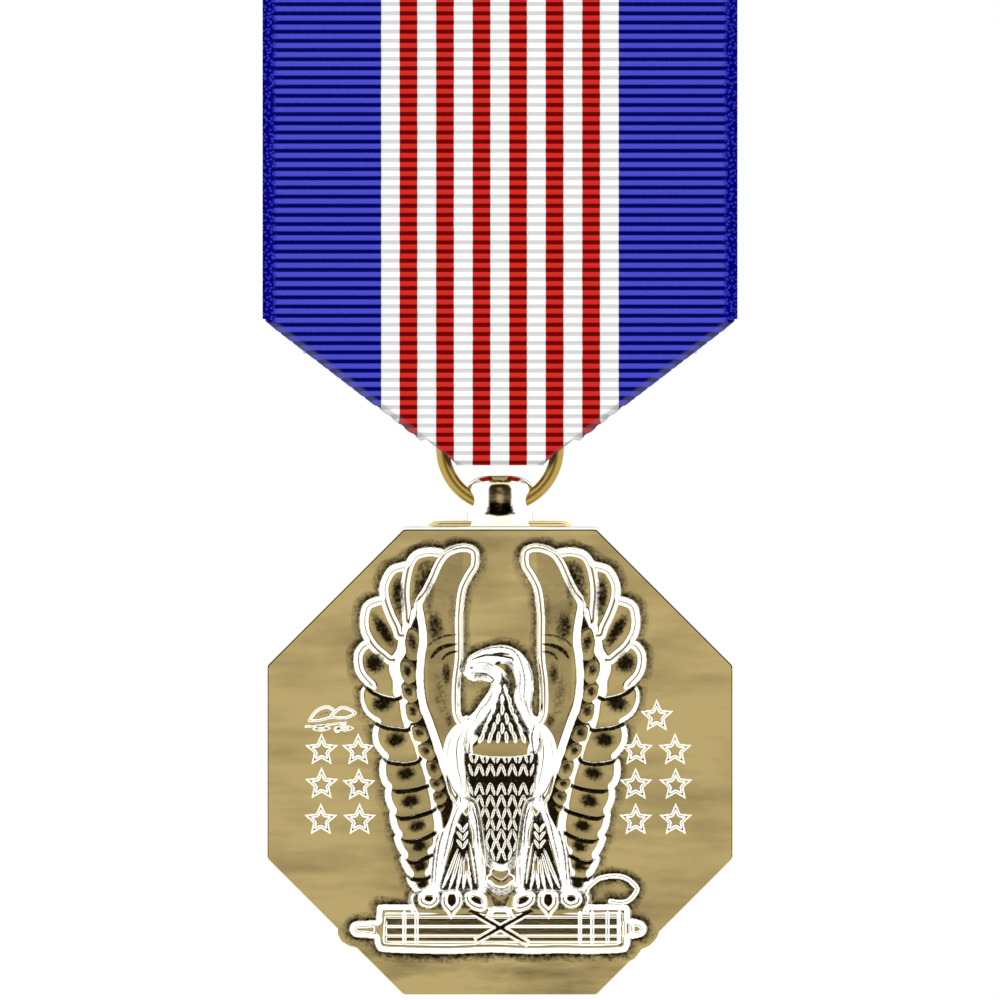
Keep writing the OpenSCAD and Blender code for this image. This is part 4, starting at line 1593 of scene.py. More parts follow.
@dataclass
class Eagle:
    """The eagle's head, body and legs.

    Args:
        name: the piece's name.
        middle: u of the line between its legs.
    """

    name: str = "eagle_body"
    middle: float = 0.075

    def _scales(self, wax: Relief) -> None:
        """Lays rows of breast feathers, each a pair of slanting barbs over a ground of painted shade.

        Args:
            wax: the body's height field.
        """
        rows = (
            (0.35, 2.05), (-0.6, 2.1), (-2.0, 2.05), (-2.9, 2.0), (-3.75, 1.65), (-4.6, 1.3), (-5.4, 1.1),
            (-6.15, 0.8), (-6.85, 0.4),
        )
        pitch = 0.81
        for v, reach in rows:
            count = max(1, int(round(2 * reach / pitch)))
            for k in range(count + 1):
                u = 0.1 + (k - count / 2) * pitch
                for side in (-1, 1):
                    barb = ((0.37, 0.46), (0.23, 0.02), (0.09, -0.42))
                    path = tuple((u + side * du, v + dv) for du, dv in barb)
                    wax.ridge(path, 0.23, 0.06, over=True, lens=True)

    def _ground(self, wax: Relief) -> None:
        """Paints shade on the breast's ground, which shows between its feathers.

        Args:
            wax: the body's height field.
        """
        breast = (
            (-2.3, 0.95), (2.45, 0.95), (2.55, -1.5), (2.2, -3.7), (1.6, -5.4), (0.95, -7.0), (0.1, -7.55),
            (-0.75, -7.0), (-1.4, -5.4), (-2.0, -3.7), (-2.35, -1.5),
        )
        wax.paint_shade(breast, 1.0, 0.3)

    def _lances(self, wax: Relief) -> None:
        """Lays the neck's narrow feathers as slender upright beads.

        Args:
            wax: the body's height field.
        """
        neck = (
            (0.25, 6.3), (0.95, 5.6), (1.1, 4.5), (1.7, 3.2), (2.1, 2.0), (0.1, 1.5), (-1.9, 2.0),
            (-1.2, 3.2), (-0.4, 4.4), (-0.1, 5.6),
        )
        # Painted shade between the neck's feathers.
        wax.paint_shade(neck, 0.85, 0.3)
        rows = ((5.3, 0.5, 2), (4.6, 0.75, 3), (3.9, 1.0, 3), (3.2, 1.3, 4), (2.5, 1.6, 5), (1.85, 1.8, 6))
        for v, reach, count in rows:
            for k in range(count):
                share = (k + 0.5) / count * 2 - 1
                u = 0.15 + reach * share
                lean = 0.2 * share
                path = ((u - lean, v + 0.4), (u + 0.04, v), (u + lean, v - 0.4))
                wax.ridge(path, 0.3, 0.075, over=True, lens=True)

    def _head(self, wax: Relief) -> None:
        """Models the head, which looks to the viewer's left.

        Args:
            wax: the body's height field.
        """
        wax.lay(HEAD, self._head_section, 0.1)
        # Painted shade in the head's creases and hollows.
        for path, width, amount in HEAD_LINES:
            wax.line(path, width, amount)
        wax.paint_shade(((0.35, 7.4), (0.95, 7.35), (1.1, 6.5), (1.35, 5.5), (0.6, 5.3), (0.35, 6.3)), 0.6, 0.35)
        wax.paint_shade_spot((-0.9, 7.0), (0.45, 0.4), 0.0, 0.4)
        wax.paint_shade_spot((-0.15, 7.3), (0.26, 0.14), 0.3, 1.0)
        wax.paint_shade_spot((-2.1, 6.95), (0.14, 0.1), 0.0, 0.8)

    def _head_section(self, n: Near) -> np.ndarray:
        """Section of the head and neck, which run down into the breast.

        Args:
            n: the window.

        Returns:
            The height.
        """
        e = np.clip(n.d / 1.25, 0, 1)
        foot = 0.5 + 0.62 * smooth((2.0 - n.v) / 0.9) * smooth((2.4 - np.abs(n.u)) / 0.4)
        return foot + (1.15 - foot) * (1 - (1 - e) ** 2) ** 0.8

    def _leg(self, wax: Relief, side: float) -> None:
        """Models one thigh with its long feathers.

        Args:
            wax: the body's height field.
            side: 1 for the leg on the viewer's left, -1 for the other.
        """
        thigh = on_side(THIGH, side, self.middle)
        wax.lay(thigh, Terrace(foot=0.3, top=0.8, slope=1.35), 0.12)
        # Painted shade on the inner thigh.
        wax.paint_shade(on_side(THIGH_INNER, side, self.middle), 0.95, 0.25)
        wax.lay(on_side(THIGH_TUFT, side, self.middle), Pillow(0.8, 0.04, 0.3), 0.08)
        for path in THIGH_STROKES:
            wax.ridge(on_side(path, side, self.middle), 0.3, 0.07, over=True, lens=True)
        for v in (-4.8, -5.4, -6.0):
            for high, mid, low in ((-3.2, -2.95, -2.78), (-2.36, -2.55, -2.72)):
                path = ((high, v + 0.3), (mid, v), (low, v - 0.35))
                wax.ridge(on_side(path, side, self.middle), 0.26, 0.07, over=True, lens=True)
        # Painted shade along the thigh's creases.
        for path, width, amount in THIGH_LINES:
            wax.line(on_side(path, side, self.middle), width, amount)

    def _tail(self, wax: Relief) -> None:
        """Models the tail's scallops between the legs.

        Args:
            wax: the body's height field.
        """
        wax.lay(TAIL, Terrace(foot=0.28, top=0.36, slope=0.3), 0.1)
        # Painted shade over the tail.
        wax.paint_shade(TAIL, 0.5, 0.4)
        for v, w in ((-9.1, 1.1), (-8.6, 0.75), (-7.9, 0.6)):
            arc = ((-w, v + 0.35), (0.1, v - 0.2), (w, v + 0.35), (0.7 * w, v + 0.9), (-0.6 * w, v + 0.9))
            wax.lay(arc, Pillow(0.46, 0.07, 0.25, 0.02, (0.1, v), 0.3), 0.08)

    def carve(self) -> Relief:
        """Works the eagle in wax.

        Returns:
            The height field.
        """
        wax = Relief((-5.8, -10.6), (5.8, 9.6))
        self._tail(wax)
        for side in (1.0, -1.0):
            wax.swell(on_side(SHOULDER, side), Terrace(foot=0.4, top=1.12, slope=1.6), 0.06, 0.3)
        wax.swell(TORSO, Mound(foot=0.66, top=0.9, shoulder=0.4, power=0.9, wall=0.9), 0.05, 0.3)
        self._ground(wax)
        self._scales(wax)
        for side in (1.0, -1.0):
            self._leg(wax, side)
        self._head(wax)
        self._lances(wax)
        outlines = [TAIL, TORSO, HEAD, SHOULDER, mirrored(SHOULDER), THIGH, mirrored(THIGH, self.middle)]
        gap = union_gap(wax, [spline(o, True) for o in outlines])
        skirted(wax, gap, 0.85, 23)
        return wax

    def build(self) -> bpy.types.Object:
        """Makes the eagle."""
        return strike(self.carve(), self.name, CAD.field_y)


# fmt: off
BUNDLE = ((-9.1, -11.2), (-9.05, -10.65), (-8.6, -10.5), (-6.6, -10.5), (0.05, -10.65), (6.65, -10.5), (9,
    -10.5), (9.55, -10.75), (9.6, -11.65), (9.6, -13.25), (9.45, -13.75), (9, -14.05), (6.65, -14.15),
    (4.45, -14.1), (2.25, -14.15), (-0.7, -14.05), (-3.65, -14.15), (-6.6, -14.1), (-8.65, -14), (-9.1,
    -13.7), (-9.25, -12.95))
TOES = (
    ((-6.0, -9.7), (-5.3, -9.35), (-4.55, -9.6), (-4.45, -10.3), (-5.1, -10.8), (-5.95, -10.5)),
    ((-2.6, -9.7), (-1.9, -9.4), (-1.1, -9.7), (-0.85, -10.5), (-1.3, -11.0), (-2.1, -10.8), (-2.6, -10.3)),
    ((-4.35, -9.9), (-3.95, -9.3), (-3.15, -9.3), (-2.75, -9.9), (-2.8, -10.6), (-3.25, -11.1),
     (-3.6, -11.55), (-3.9, -11.1), (-4.3, -10.6)),
)
FOOT_PAD = ((-6.5, -9.7), (-5.0, -9.3), (-2.5, -9.3), (-1.0, -9.7), (-1.2, -10.6), (-3.6, -10.9),
    (-6.2, -10.7))
FOOT_RIM = ((-6.6, -9.6), (-6.2, -9.3), (-4.0, -9.2), (-2.0, -9.2), (-0.9, -9.7), (-0.5, -10.8),
    (-1.0, -11.3), (-6.2, -11.3), (-6.7, -10.6))
SPURS = (((-6.5, -9.6), (-6.62, -10.3), (-6.3, -11.0)), ((-0.6, -9.7), (-0.35, -10.5), (-0.75, -11.2)))
LEFT_STUB = ((-11.1, -12.3), (-10.8, -11.8), (-9.9, -11.7), (-8.9, -11.75), (-8.9, -12.95),
    (-10.0, -12.95), (-10.8, -12.85))
AXE = ((6.15, -9.65), (6.65, -9.1), (7.2, -8.65), (7.85, -8.45), (8.6, -8.4), (9.25, -8.55), (9.75, -8.9),
    (10.1, -9.35), (9.85, -9.85), (9.4, -10.25), (8.8, -10.35), (8.15, -10.25))
# fmt: on


def right_stub(start: float) -> Outline:
    """Outline of the stub at the bundle's right end."""
    end = ((10.3, -11.65), (10.75, -12.0), (10.8, -12.5), (10.4, -12.9))
    return ((start, -11.6), *end, (start, -12.95))


@dataclass
class RodBundle:
    """The bundle of rods with its axe, and the eagle's feet that grip it."""

    name: str = "rod_bundle"

    def carve(self) -> Relief:
        """Works the bundle in wax.

        Returns:
            The height field.
        """
        wax = Relief((-12.3, -15.4), (12.3, -7.2))
        u, v = np.meshgrid(wax.u, wax.v)
        for stub in (LEFT_STUB, right_stub(9.5)):
            wax.lay(stub, Leaf(foot=0.05, floor=0.2, crest=0.34, rim=0.5), 0.08)
        wax.lay(BUNDLE, Leaf(foot=0.2, floor=0.2, crest=0.28, rim=0.75, fullness=1.7), 0.08)
        between = smooth((-11.2 - v) / 0.15) * smooth((v + 13.35) / 0.15)
        rods = smooth((8.75 - np.abs(u - 0.25)) / 0.2) * between
        phase = np.mod((-11.42 - v) / 0.7, 1.0)
        tooth = 0.04 * smooth(phase / 0.15) + 0.058 * phase - 0.098 * smooth((phase - 0.88) / 0.12)
        wax.h += rods * tooth
        for u0, w in ((-6.6, 0.9), (6.35, 0.9), (8.35, 0.85), (9.0, 0.4)):
            for edge in (-w / 2, w / 2):
                band = tuple((u0 + edge, height) for height in (-11.1, -12.2, -13.3))
                wax.ridge(band, 0.24, 0.07, over=True)
        for a, b in (((-2.25, -10.9), (2.1, -13.4)), ((2.4, -10.9), (-1.8, -13.2))):
            across = np.array([a[1] - b[1], b[0] - a[0]])
            across = across / np.hypot(*across) * 0.24
            strap = [tuple(np.array(q) + k * across) for q, k in ((a, 1), (b, 1), (b, -1), (a, -1))]
            wax.lay(strap, Lean(0.42, -12.1, 0.12), 0.1, straight=True)
            # Painted shade along the strap.
            wax.line((a, ((a[0] + b[0]) / 2, (a[1] + b[1]) / 2), b), 0.3, 0.55)
        wax.ridge(AXE, 0.36, 0.13)
        for side in (1, -1):
            self._foot(wax, side)
        axe = spline(AXE)
        stroke = wax.near(axe, False, 1.6)
        gap = union_gap(wax, [spline(BUNDLE, True)] + [spline(o, True) for o in self._extra()])
        beside = np.full(gap.shape, -2.0)
        beside[stroke.at] = 0.18 - stroke.d
        # The halo of painted shade is darkened further below the bundle.
        skirted(wax, np.maximum(gap, beside), 0.6, 37, 0.65)
        return wax

    def _extra(self) -> list[Outline]:
        """Outlines of the stubs and feet, which stand out of the bundle's own."""
        return [FOOT_RIM, mirrored(FOOT_RIM), LEFT_STUB, right_stub(9.0)]

    def _foot(self, wax: Relief, side: int) -> None:
        """Models one foot: toes and claws over the rods.

        Args:
            wax: the bundle's height field.
            side: 1 for the foot on the viewer's left, -1 for the other.
        """
        pad = on_side(FOOT_PAD, side)
        wax.lay(pad, Pillow(0.3, 0.03, 0.3), 0.15)
        # Painted shade on the pad behind the toes.
        wax.paint_shade(pad, 0.7, 0.3)
        for toe in TOES:
            outline = on_side(toe, side)
            wax.lay(outline, Leaf(foot=0.36, floor=0.36, crest=0.48, rim=0.5), 0.1)
            # Painted shade inside each toe's rim.
            wax.paint_shade(outline, 0.95, 0.12, 0.52)
        for spur in SPURS:
            wax.ridge(on_side(spur, side), 0.42, 0.12, over=True)

    def build(self) -> bpy.types.Object:
        """Makes the bundle."""
        return strike(self.carve(), self.name, CAD.field_y)


# fmt: off
LEFT_STARS = ((-13.15, 0.85), (-10.45, 0.85), (-13.15, -1.65), (-10.4, -1.75), (-13.2, -4.3), (-10.35, -4.3))
RIGHT_STARS = ((11.55, 3.35), (10.05, 0.85), (12.9, 0.85), (10.0, -1.7), (12.95, -1.7), (10.0, -4.3),
    (12.95, -4.3))
# fmt: on


@dataclass
class Stars:
    """A group of outlined five-pointed stars.

    Args:
        name: the piece's name.
        places: the stars' middles.
        radius: from the middle to a point.
    """

    name: str
    places: tuple[Point, ...]
    radius: float = 1.3

    def build(self) -> bpy.types.Object:
        """Makes the group of stars.

        Returns:
            The piece.
        """
        lo = np.min(self.places, 0) - 1.6
        hi = np.max(self.places, 0) + 1.6
        wax = Relief(tuple(lo), tuple(hi), 0.05)
        for u, v in self.places:
            angles = math.pi / 2 + np.arange(10) * math.pi / 5
            radii = np.where(np.arange(10) % 2 == 0, self.radius, 0.47 * self.radius)
            star = np.column_stack([u + radii * np.cos(angles), v + radii * np.sin(angles)])
            wax.swell(star, Leaf(foot=0.0, floor=0.03, crest=0.1, rim=0.27), 0.02, 0.12, straight=True)
            w = wax.near(star, True, 0.15)
            wax.h[w.at] = np.where(w.d < 0, wax.sunk, wax.h[w.at])
        return strike(wax, self.name, CAD.field_y)


@dataclass
class Spray:
    """A short laurel spray."""

    name: str = "laurel_spray"

    def build(self) -> bpy.types.Object:
        """Makes the spray.

        Returns:
            The piece.
        """
        wax = Relief((-14.8, 1.6), (-10.0, 4.8), 0.05)
        leaves = (
            ((-14.2, 3.0), (-13.6, 3.9), (-12.6, 4.2), (-11.7, 3.4), (-12.6, 3.1), (-13.4, 2.9)),
            ((-12.6, 3.3), (-11.9, 4.1), (-11.2, 4.1), (-10.5, 3.6), (-11.4, 3.1)),
            ((-13.9, 2.4), (-13.2, 2.75), (-12.4, 2.5), (-13.1, 2.2)),
            ((-12.2, 2.5), (-11.5, 2.8), (-10.7, 2.5), (-11.4, 2.2)),
        )
        for outline in leaves:
            wax.lay(outline, Leaf(foot=0.0, floor=0.03, crest=0.1, rim=0.26), 0.06)
            # Painted shade inside each leaf.
            wax.paint_shade(outline, 0.5, 0.2, 0.5)
        wax.ridge(((-14.3, 2.6), (-12.8, 2.75), (-11.4, 2.9)), 0.2, 0.08)
        berry = [(-12.0 + 0.25 * math.cos(a), 2.4 + 0.25 * math.sin(a)) for a in np.linspace(0, 5.5, 8)]
        wax.swell(berry, Mound(foot=0.0, top=0.12, shoulder=0.25, power=0.8), 0.02)
        return strike(wax, self.name, CAD.field_y)


@dataclass
class Reverse:
    """The relief on the reverse: a shield between laurel branches, over a blank panel."""

    name: str = "reverse_relief"

    def build(self) -> bpy.types.Object:
        """Makes the relief.

        Returns:
            The piece.
        """
        wax = Relief((-13.0, -13.4), (13.0, 13.4), 0.08)
        panel = ((-7.2, 2.2), (7.2, 2.2), (7.2, -2.6), (-7.2, -2.6))
        wax.lay(panel, Leaf(foot=0.0, floor=0.04, crest=0.16, rim=0.5), 0.08, straight=True)
        right_half = ((3.0, 10.2), (3.1, 7.0), (2.0, 4.9))
        shield = (mirrored(right_half)[0], (0.0, 9.6), *right_half, (0.0, 3.6), *mirrored(right_half)[:0:-1])
        wax.lay(shield, Leaf(foot=0.0, floor=0.14, crest=0.28, rim=0.5), 0.08)
        wax.ridge(((-2.8, 8.2), (0.0, 8.1), (2.8, 8.2)), 0.3, 0.1, over=True)
        for u in (-1.8, -0.6, 0.6, 1.8):
            wax.ridge(((u, 7.9), (u, 6.6), (u * 0.9, 5.2)), 0.34, 0.09, over=True)
        for side in (-1, 1):
            bends = np.linspace(0.12, 2.2, 13)
            stem = [(side * 11.0 * math.sin(a), -1.2 - 10.4 * math.cos(a)) for a in bends]
            wax.ridge(stem, (0.5, 0.25), 0.16)
            for k, (u, v) in enumerate(stem[1:]):
                angle = 0.12 + (k + 1) * 0.173
                for lean, reach in ((0.55, 1.9), (-0.65, 1.9)):
                    turn = angle + lean
                    tip = (u + side * reach * math.cos(turn), v + reach * math.sin(turn))
                    mid = np.array([(u + tip[0]) / 2, (v + tip[1]) / 2])
                    across = np.array([-(tip[1] - v), tip[0] - u]) * 0.2
                    leaf = ((u, v), tuple(mid + across), tip, tuple(mid - across))
                    wax.lay(leaf, Leaf(foot=0.02, floor=0.12, crest=0.2, rim=0.3), 0.08)
        # Painted shade inside the panel's rim.
        wax.paint_shade(panel, 0.35, 0.3, 0.6)
        return strike(wax, self.name, CAD.reverse_y, back=True)


@dataclass
class Disc:
    """The octagonal disc with its softened edge.

    Args:
        name: the piece's name.
        corner: radius of its corners.
        corner_steps: points along each corner's arc.
        edge: the edge's profile, as inset from the outline and depth under the face.
    """

    name: str = "medallion_disc"
    corner: float = 0.45
    corner_steps: int = 6
    edge: Outline = ((0.36, 0.0), (0.27, 0.008), (0.2, 0.028), (0.13, 0.07), (0.06, 0.14), (0.0, 0.26))

    def _outline(self, inset: float) -> np.ndarray:
        """The octagon drawn in by an inset, with an arc at each corner.

        Args:
            inset: distance from the outer edge.

        Returns:
            Rows of u and v.
        """
        half_corner = math.pi / 8
        corner = half_corner + np.arange(8) * math.pi / 4
        angle = corner[:, None] + np.linspace(-half_corner, half_corner, self.corner_steps)
        far = (CAD.medal_w / 2 - inset - self.corner) / math.cos(half_corner)
        middle = far * np.stack([np.cos(corner), np.sin(corner)], -1)
        arc = self.corner * np.stack([np.cos(angle), np.sin(angle)], -1)
        return (middle[:, None] + arc).reshape(-1, 2)

    def build(self) -> bpy.types.Object:
        """Makes the disc.

        Returns:
            The piece.
        """
        rings = []
        for plane, inward, edge in ((CAD.field_y, 1, self.edge), (CAD.reverse_y, -1, self.edge[::-1])):
            for inset, depth in edge:
                p = self._outline(inset)
                y = np.full(len(p), plane + inward * depth)
                rings.append(np.column_stack([p[:, 0], y, p[:, 1] + CAD.medal_z]))
        disc = Mesh().loft(np.array(rings)).build(self.name)
        paint_shade_and_highlight(disc, self._shade)
        return disc

    def _shade(self, points: np.ndarray) -> np.ndarray:
        """Painted shade (none) and painted highlight of the disc, whose edge is painted brighter than its
        faces.

        Args:
            points: rows of x, y, z in millimetres.

        Returns:
            The darkness and polish at each point.
        """
        middle = (CAD.field_y + CAD.reverse_y) / 2
        inward = (CAD.reverse_y - CAD.field_y) / 2 - np.abs(points[:, 1] - middle)
        return np.column_stack([np.zeros(len(points)), smooth(inward / 0.02)])


@dataclass
class Medallion:
    """The whole struck medallion."""

    def build(self) -> list[bpy.types.Object]:
        """Makes and dresses the disc and its relief.

        Returns:
            The pieces.
        """
        parts = [
            Disc().build(),
            Wing("left_wing").build(),
            Wing("right_wing", True).build(),
            Eagle().build(),
            RodBundle().build(),
            Stars("left_stars", LEFT_STARS).build(),
            Stars("right_stars", RIGHT_STARS).build(),
            Spray().build(),
            Reverse().build(),
        ]
        for part in parts:
            dress(part, GOLD, Slot.GOLD, Body.MEDAL, ["medallion"])
        return parts


# ---------------------------------------------------------------- ring and lug


@dataclass
class Suspension:
    """The jump ring and the lug that hangs from it."""

    def _ring(self) -> bpy.types.Object:
        """Makes the ring as a swept round wire with its butted joint at the top.

        Returns:
            The piece.
        """
        gap = math.radians(0.6)
        around = np.linspace(math.pi / 2 + gap, math.pi / 2 + 2 * math.pi - gap, 160)
        wire = np.linspace(0, 2 * math.pi, 28, endpoint=False)
        r = CAD.ring_wire / 2
        reach = CAD.ring_r + r * np.cos(wire)[None, :]
        rings = np.stack(
            [
                reach * np.cos(around)[:, None],
                CAD.ring_y + r * np.sin(wire)[None, :] + 0 * around[:, None],
                CAD.ring_z + reach * np.sin(around)[:, None],
            ],
            -1,
        )
        return Mesh().loft(rings).build("jump_ring")

    def _lug(self) -> bpy.types.Object:
        """Makes the lug's bored body, wide and bellied, on a flaring neck.

        Returns:
            The piece.
        """
        # Height over the foot's seat, half width, half depth.
        shape = (
            (-0.02, 2.6, 1.85),
            (0.12, 2.52, 1.78),
            (0.35, 2.45, 1.66),
            (0.6, 2.42, 1.58),
            (0.9, 2.41, 1.52),
            (1.3, 2.4, 1.49),
            (1.8, 2.4, 1.47),
            (2.4, 2.4, 1.46),
            (2.9, 2.36, 1.44),
            (3.2, 2.22, 1.38),
            (3.45, 1.85, 1.2),
            (3.62, 1.4, 0.9),
            (3.7, 0.8, 0.45),
        )
        key = np.array(shape)
        path = spline(key[:, :2], steps=12)
        deep = spline(key[:, (0, 2)], steps=12)
        z, a, b = path[:, 0], path[:, 1], deep[:, 1]
        angle = np.linspace(0, 2 * math.pi, 72, endpoint=False)
        power = 0.96
        cx = np.sign(np.cos(angle)) * np.abs(np.cos(angle)) ** power
        cy = np.sign(np.sin(angle)) * np.abs(np.sin(angle)) ** power
        rings = np.stack(
            [
                a[:, None] * cx[None, :],
                CAD.ring_y + b[:, None] * cy[None, :],
                np.broadcast_to((CAD.medal_top + z)[:, None], (len(z), len(angle))),
            ],
            -1,
        )
        lug = bore(Mesh().loft(rings).build("lug_eye"), CAD.lug_bore, CAD.ring_y, CAD.lug_z)
        paint_shade_and_highlight(lug, self._lug_shade)
        return lug

    def _lug_shade(self, points: np.ndarray) -> np.ndarray:
        """Painted shade and painted highlight of the lug: painted shade as a band at the waist, a spot above
        it, a line under the top and along the upper sides; painted highlight off the middle and round the
        bottom.

        Args:
            points: rows of x, y, z in millimetres.

        Returns:
            The darkness and polish at each point.
        """
        x, z = np.abs(points[:, 0]), points[:, 2] - CAD.medal_top
        wide = 0.75 + 0.42 * (1.75 - z)
        band = smooth((wide - x) / 0.15 + 0.5) * smooth((z - 0.75) / 0.15) * smooth((1.8 - z) / 0.15)
        spot = 0.9 * np.exp(-((x / 0.42) ** 2) - ((z - 2.55) / 0.35) ** 2)
        line = smooth((0.85 - x) / 0.1) * np.exp(-(((z - 3.3) / 0.13) ** 2))
        edge = 0.6 * smooth((x - 2.28) / 0.1) * smooth((z - 0.9) / 0.3)
        dark = np.maximum.reduce([0.85 * band, 0.8 * spot, 0.85 * line, edge])
        painted_highlight = np.maximum(smooth((x - 0.62) / 0.25), 0.75 * smooth((0.8 - z) / 0.15))
        return np.column_stack([dark, painted_highlight])

    def _foot(self) -> bpy.types.Object:
        """Makes the long foot with tapered ends.

        Returns:
            The piece.
        """
        x = np.array([-5.3, -5.2, -4.9, -4.2, 4.2, 4.9, 5.2, 5.3])
        tall = np.array([0.04, 0.2, 0.34, 0.4, 0.4, 0.34, 0.2, 0.04])
        deep = np.array([0.7, 0.85, 0.93, 0.95, 0.95, 0.93, 0.85, 0.7])
        low = CAD.medal_top - 0.02
        chamfer = np.minimum(0.1, tall / 2)
        front, back, top = CAD.ring_y - deep, CAD.ring_y + deep, low + tall
        y = np.stack([front, back, back, back - chamfer, front + chamfer, front], 1)
        seat = np.full(len(x), low)
        z = np.stack([seat, seat, top - chamfer, top, top, top - chamfer], 1)
        rings = np.stack([np.broadcast_to(x[:, None], y.shape), y, z], -1)
        return Mesh().loft(rings).build("lug_foot")

    def build(self) -> None:
        """Makes and dresses the ring and the lug."""
        dress(self._ring(), RING_GOLD, Slot.RING, Body.RING, ["suspension_ring"])
        dress(self._lug(), GOLD, Slot.GOLD, Body.MEDAL, ["suspension_lug"])
        dress(self._foot(), GOLD, Slot.GOLD, Body.MEDAL, ["suspension_lug"])


def bore(obj: bpy.types.Object, radius: float, y: float, z: float) -> bpy.types.Object:
    """Cuts a round hole along X through a closed piece.

    Args:
        obj: the piece.
        radius: the hole's radius.
        y: depth of its axis.
        z: height of its axis.

    Returns:
        The piece, cut.
    """
    angle = np.linspace(0, 2 * math.pi, 64, endpoint=False)
    ring = np.column_stack([0 * angle, y + radius * np.cos(angle), z + radius * np.sin(angle)])
    reach = np.array([4.0, 0.0, 0.0])
    cutter = Mesh().loft(np.array([ring - reach, ring + reach])).build("cutter")
    cut = obj.modifiers.new("bore", "BOOLEAN")
    cut.operation, cut.object, cut.solver = "DIFFERENCE", cutter, "EXACT"
    bpy.context.view_layer.update()
    made = bpy.data.meshes.new_from_object(obj.evaluated_get(bpy.context.evaluated_depsgraph_get()))
    obj.modifiers.clear()
    obj.data = made
    bpy.data.objects.remove(cutter)
    return obj


# ---------------------------------------------------------------- ribbon


@dataclass
class Ribbon:
    """The ribbon: one strip wrapped over the bar, folded to a point and brought up behind.

    Args:
        name: the piece's name.
        pitch: distance between ribs.
        rib: height of a rib.
        thick: thickness of the cloth between ribs.
        bend: radius of the folded slanting edges.
        middle_steps: cells across a row's level part.
        bend_steps: cells round a folded edge.
        flap_steps: cells across a folded-in flap.
        open_front: length of the front layer, from the lowest fold, that has no flaps.
        open_back: the same for the back layer, where the ring needs room.
    """

    name: str = "ribbon"
    pitch: float = 0.675
    rib: float = 0.05
    thick: float = 0.24
    bend: float = 0.16
    middle_steps: int = 40
    bend_steps: int = 5
    flap_steps: int = 6
    open_front: float = 1.9
    open_back: float = 6.5

    @property
    def slope(self) -> float:
        """Width lost on each side per millimetre down the slants."""
        return (CAD.ribbon_w - CAD.fold_w) / 2 / (CAD.shoulder_z - CAD.fold_z)

    @property
    def across(self) -> tuple[float, float]:
        """Unit vector out of the right-hand slant, in X and Z."""
        lean = math.atan(self.slope)
        return math.cos(lean), -math.sin(lean)

    def _path(self) -> tuple[np.ndarray, np.ndarray]:
        """The strip's middle line in depth and height, sampled by its own length.

        Returns:
            The path's points and the length at each.
        """
        front = CAD.cloth_front + self.thick / 2 + self.rib
        back = CAD.pocket_back + 0.2
        top = CAD.bar_h / 2 + 0.2
        low = CAD.fold_z + self.thick / 2 + self.rib
        r = 0.42
        corner = [(math.cos(a), math.sin(a)) for a in np.linspace(0, math.pi / 2, 7)]
        tuck = -3.0
        points = [(tuck, 1.9), (tuck, top - 0.5)]
        points += [(tuck - 0.25 + 0.25 * c, top - 0.25 + 0.25 * s) for c, s in corner]
        points += [(front + 0.25 - 0.25 * s, top - 0.25 + 0.25 * c) for c, s in corner]
        points += [(front, z) for z in np.linspace(top - 1.0, low + r + 0.3, 60)]
        points += [(front + r - r * c, low + r - r * s) for c, s in corner]
        points += [(back - r + r * s, low + r - r * c) for c, s in corner]
        points += [(back, z) for z in np.linspace(low + r + 0.3, -25.3, 20)]
        points += [(-3.0, -5.6), (-3.0, -1.95)]
        p = np.array(points)
        length = np.concatenate([[0], np.cumsum(np.hypot(*np.diff(p, axis=0).T))])
        return p, length

    def _columns(self, z: np.ndarray) -> tuple[np.ndarray, np.ndarray]:
        """Places the points of each row across the flat strip.

        A row is level up to its core's edge; then come a small bend and a flap of the cloth that is left.

        Args:
            z: the rows' heights.

        Returns:
            The points' places across, and half the width of each row's core.
        """
        half, tip = CAD.ribbon_w / 2, CAD.fold_w / 2
        inset = (self.thick / 2 + self.rib) / self.across[0]
        width = np.clip(half - self.slope * (CAD.shoulder_z - z) - inset, tip - inset / 2, half)
        straight = z > CAD.shoulder_z
        core = np.where(straight, half, width - self.bend / self.across[0])
        rest = np.maximum(half - core, 0)
        arc = np.minimum(self.bend * math.pi / self.across[0], rest)
        bends = np.linspace(0, 1, self.bend_steps + 1)[1:]
        flaps = np.linspace(0, 1, self.flap_steps + 1)[1:]
        right = [core + arc * share for share in bends]
        right += [core + arc + (rest - arc) * share for share in flaps]
        level = [core * share for share in np.linspace(-1, 1, self.middle_steps + 1)]
        return np.stack([-c for c in right[::-1]] + level + right, 1), core

    def _folded(
        self, t: np.ndarray, core: np.ndarray, y: np.ndarray, z: np.ndarray, behind: np.ndarray
    ) -> tuple[np.ndarray, np.ndarray]:
        """Turns the rows over at the slants, as paper folds.

        A point beyond the core goes half way round a bend of small radius and then straight back,
        square to the slant.

        Args:
            t: the points' places across the strip.
            core: half the width of each row's core.
            y: the rows' depths.
            z: the rows' heights.
            behind: which rows are in the back layer.

        Returns:
            The cloth's middle surface, and how far each point is turned over, in radians.
        """
        beyond = (np.abs(t) - core[:, None]) * self.across[0]
        active = beyond > 1e-9
        angle = np.where(active, np.clip(beyond / self.bend, 0, math.pi), 0)
        half_turn = math.pi * self.bend
        turned = np.where(beyond > half_turn, half_turn - beyond, self.bend * np.sin(angle))
        shift = np.where(active, turned - beyond, 0)
        depth = self.bend * (1 - np.cos(angle))
        x = t + np.sign(t) * shift * self.across[0]
        deep = y[:, None] + np.where(behind[:, None], -depth, depth)
        return np.stack([x, deep, z[:, None] + shift * self.across[1]], -1), angle

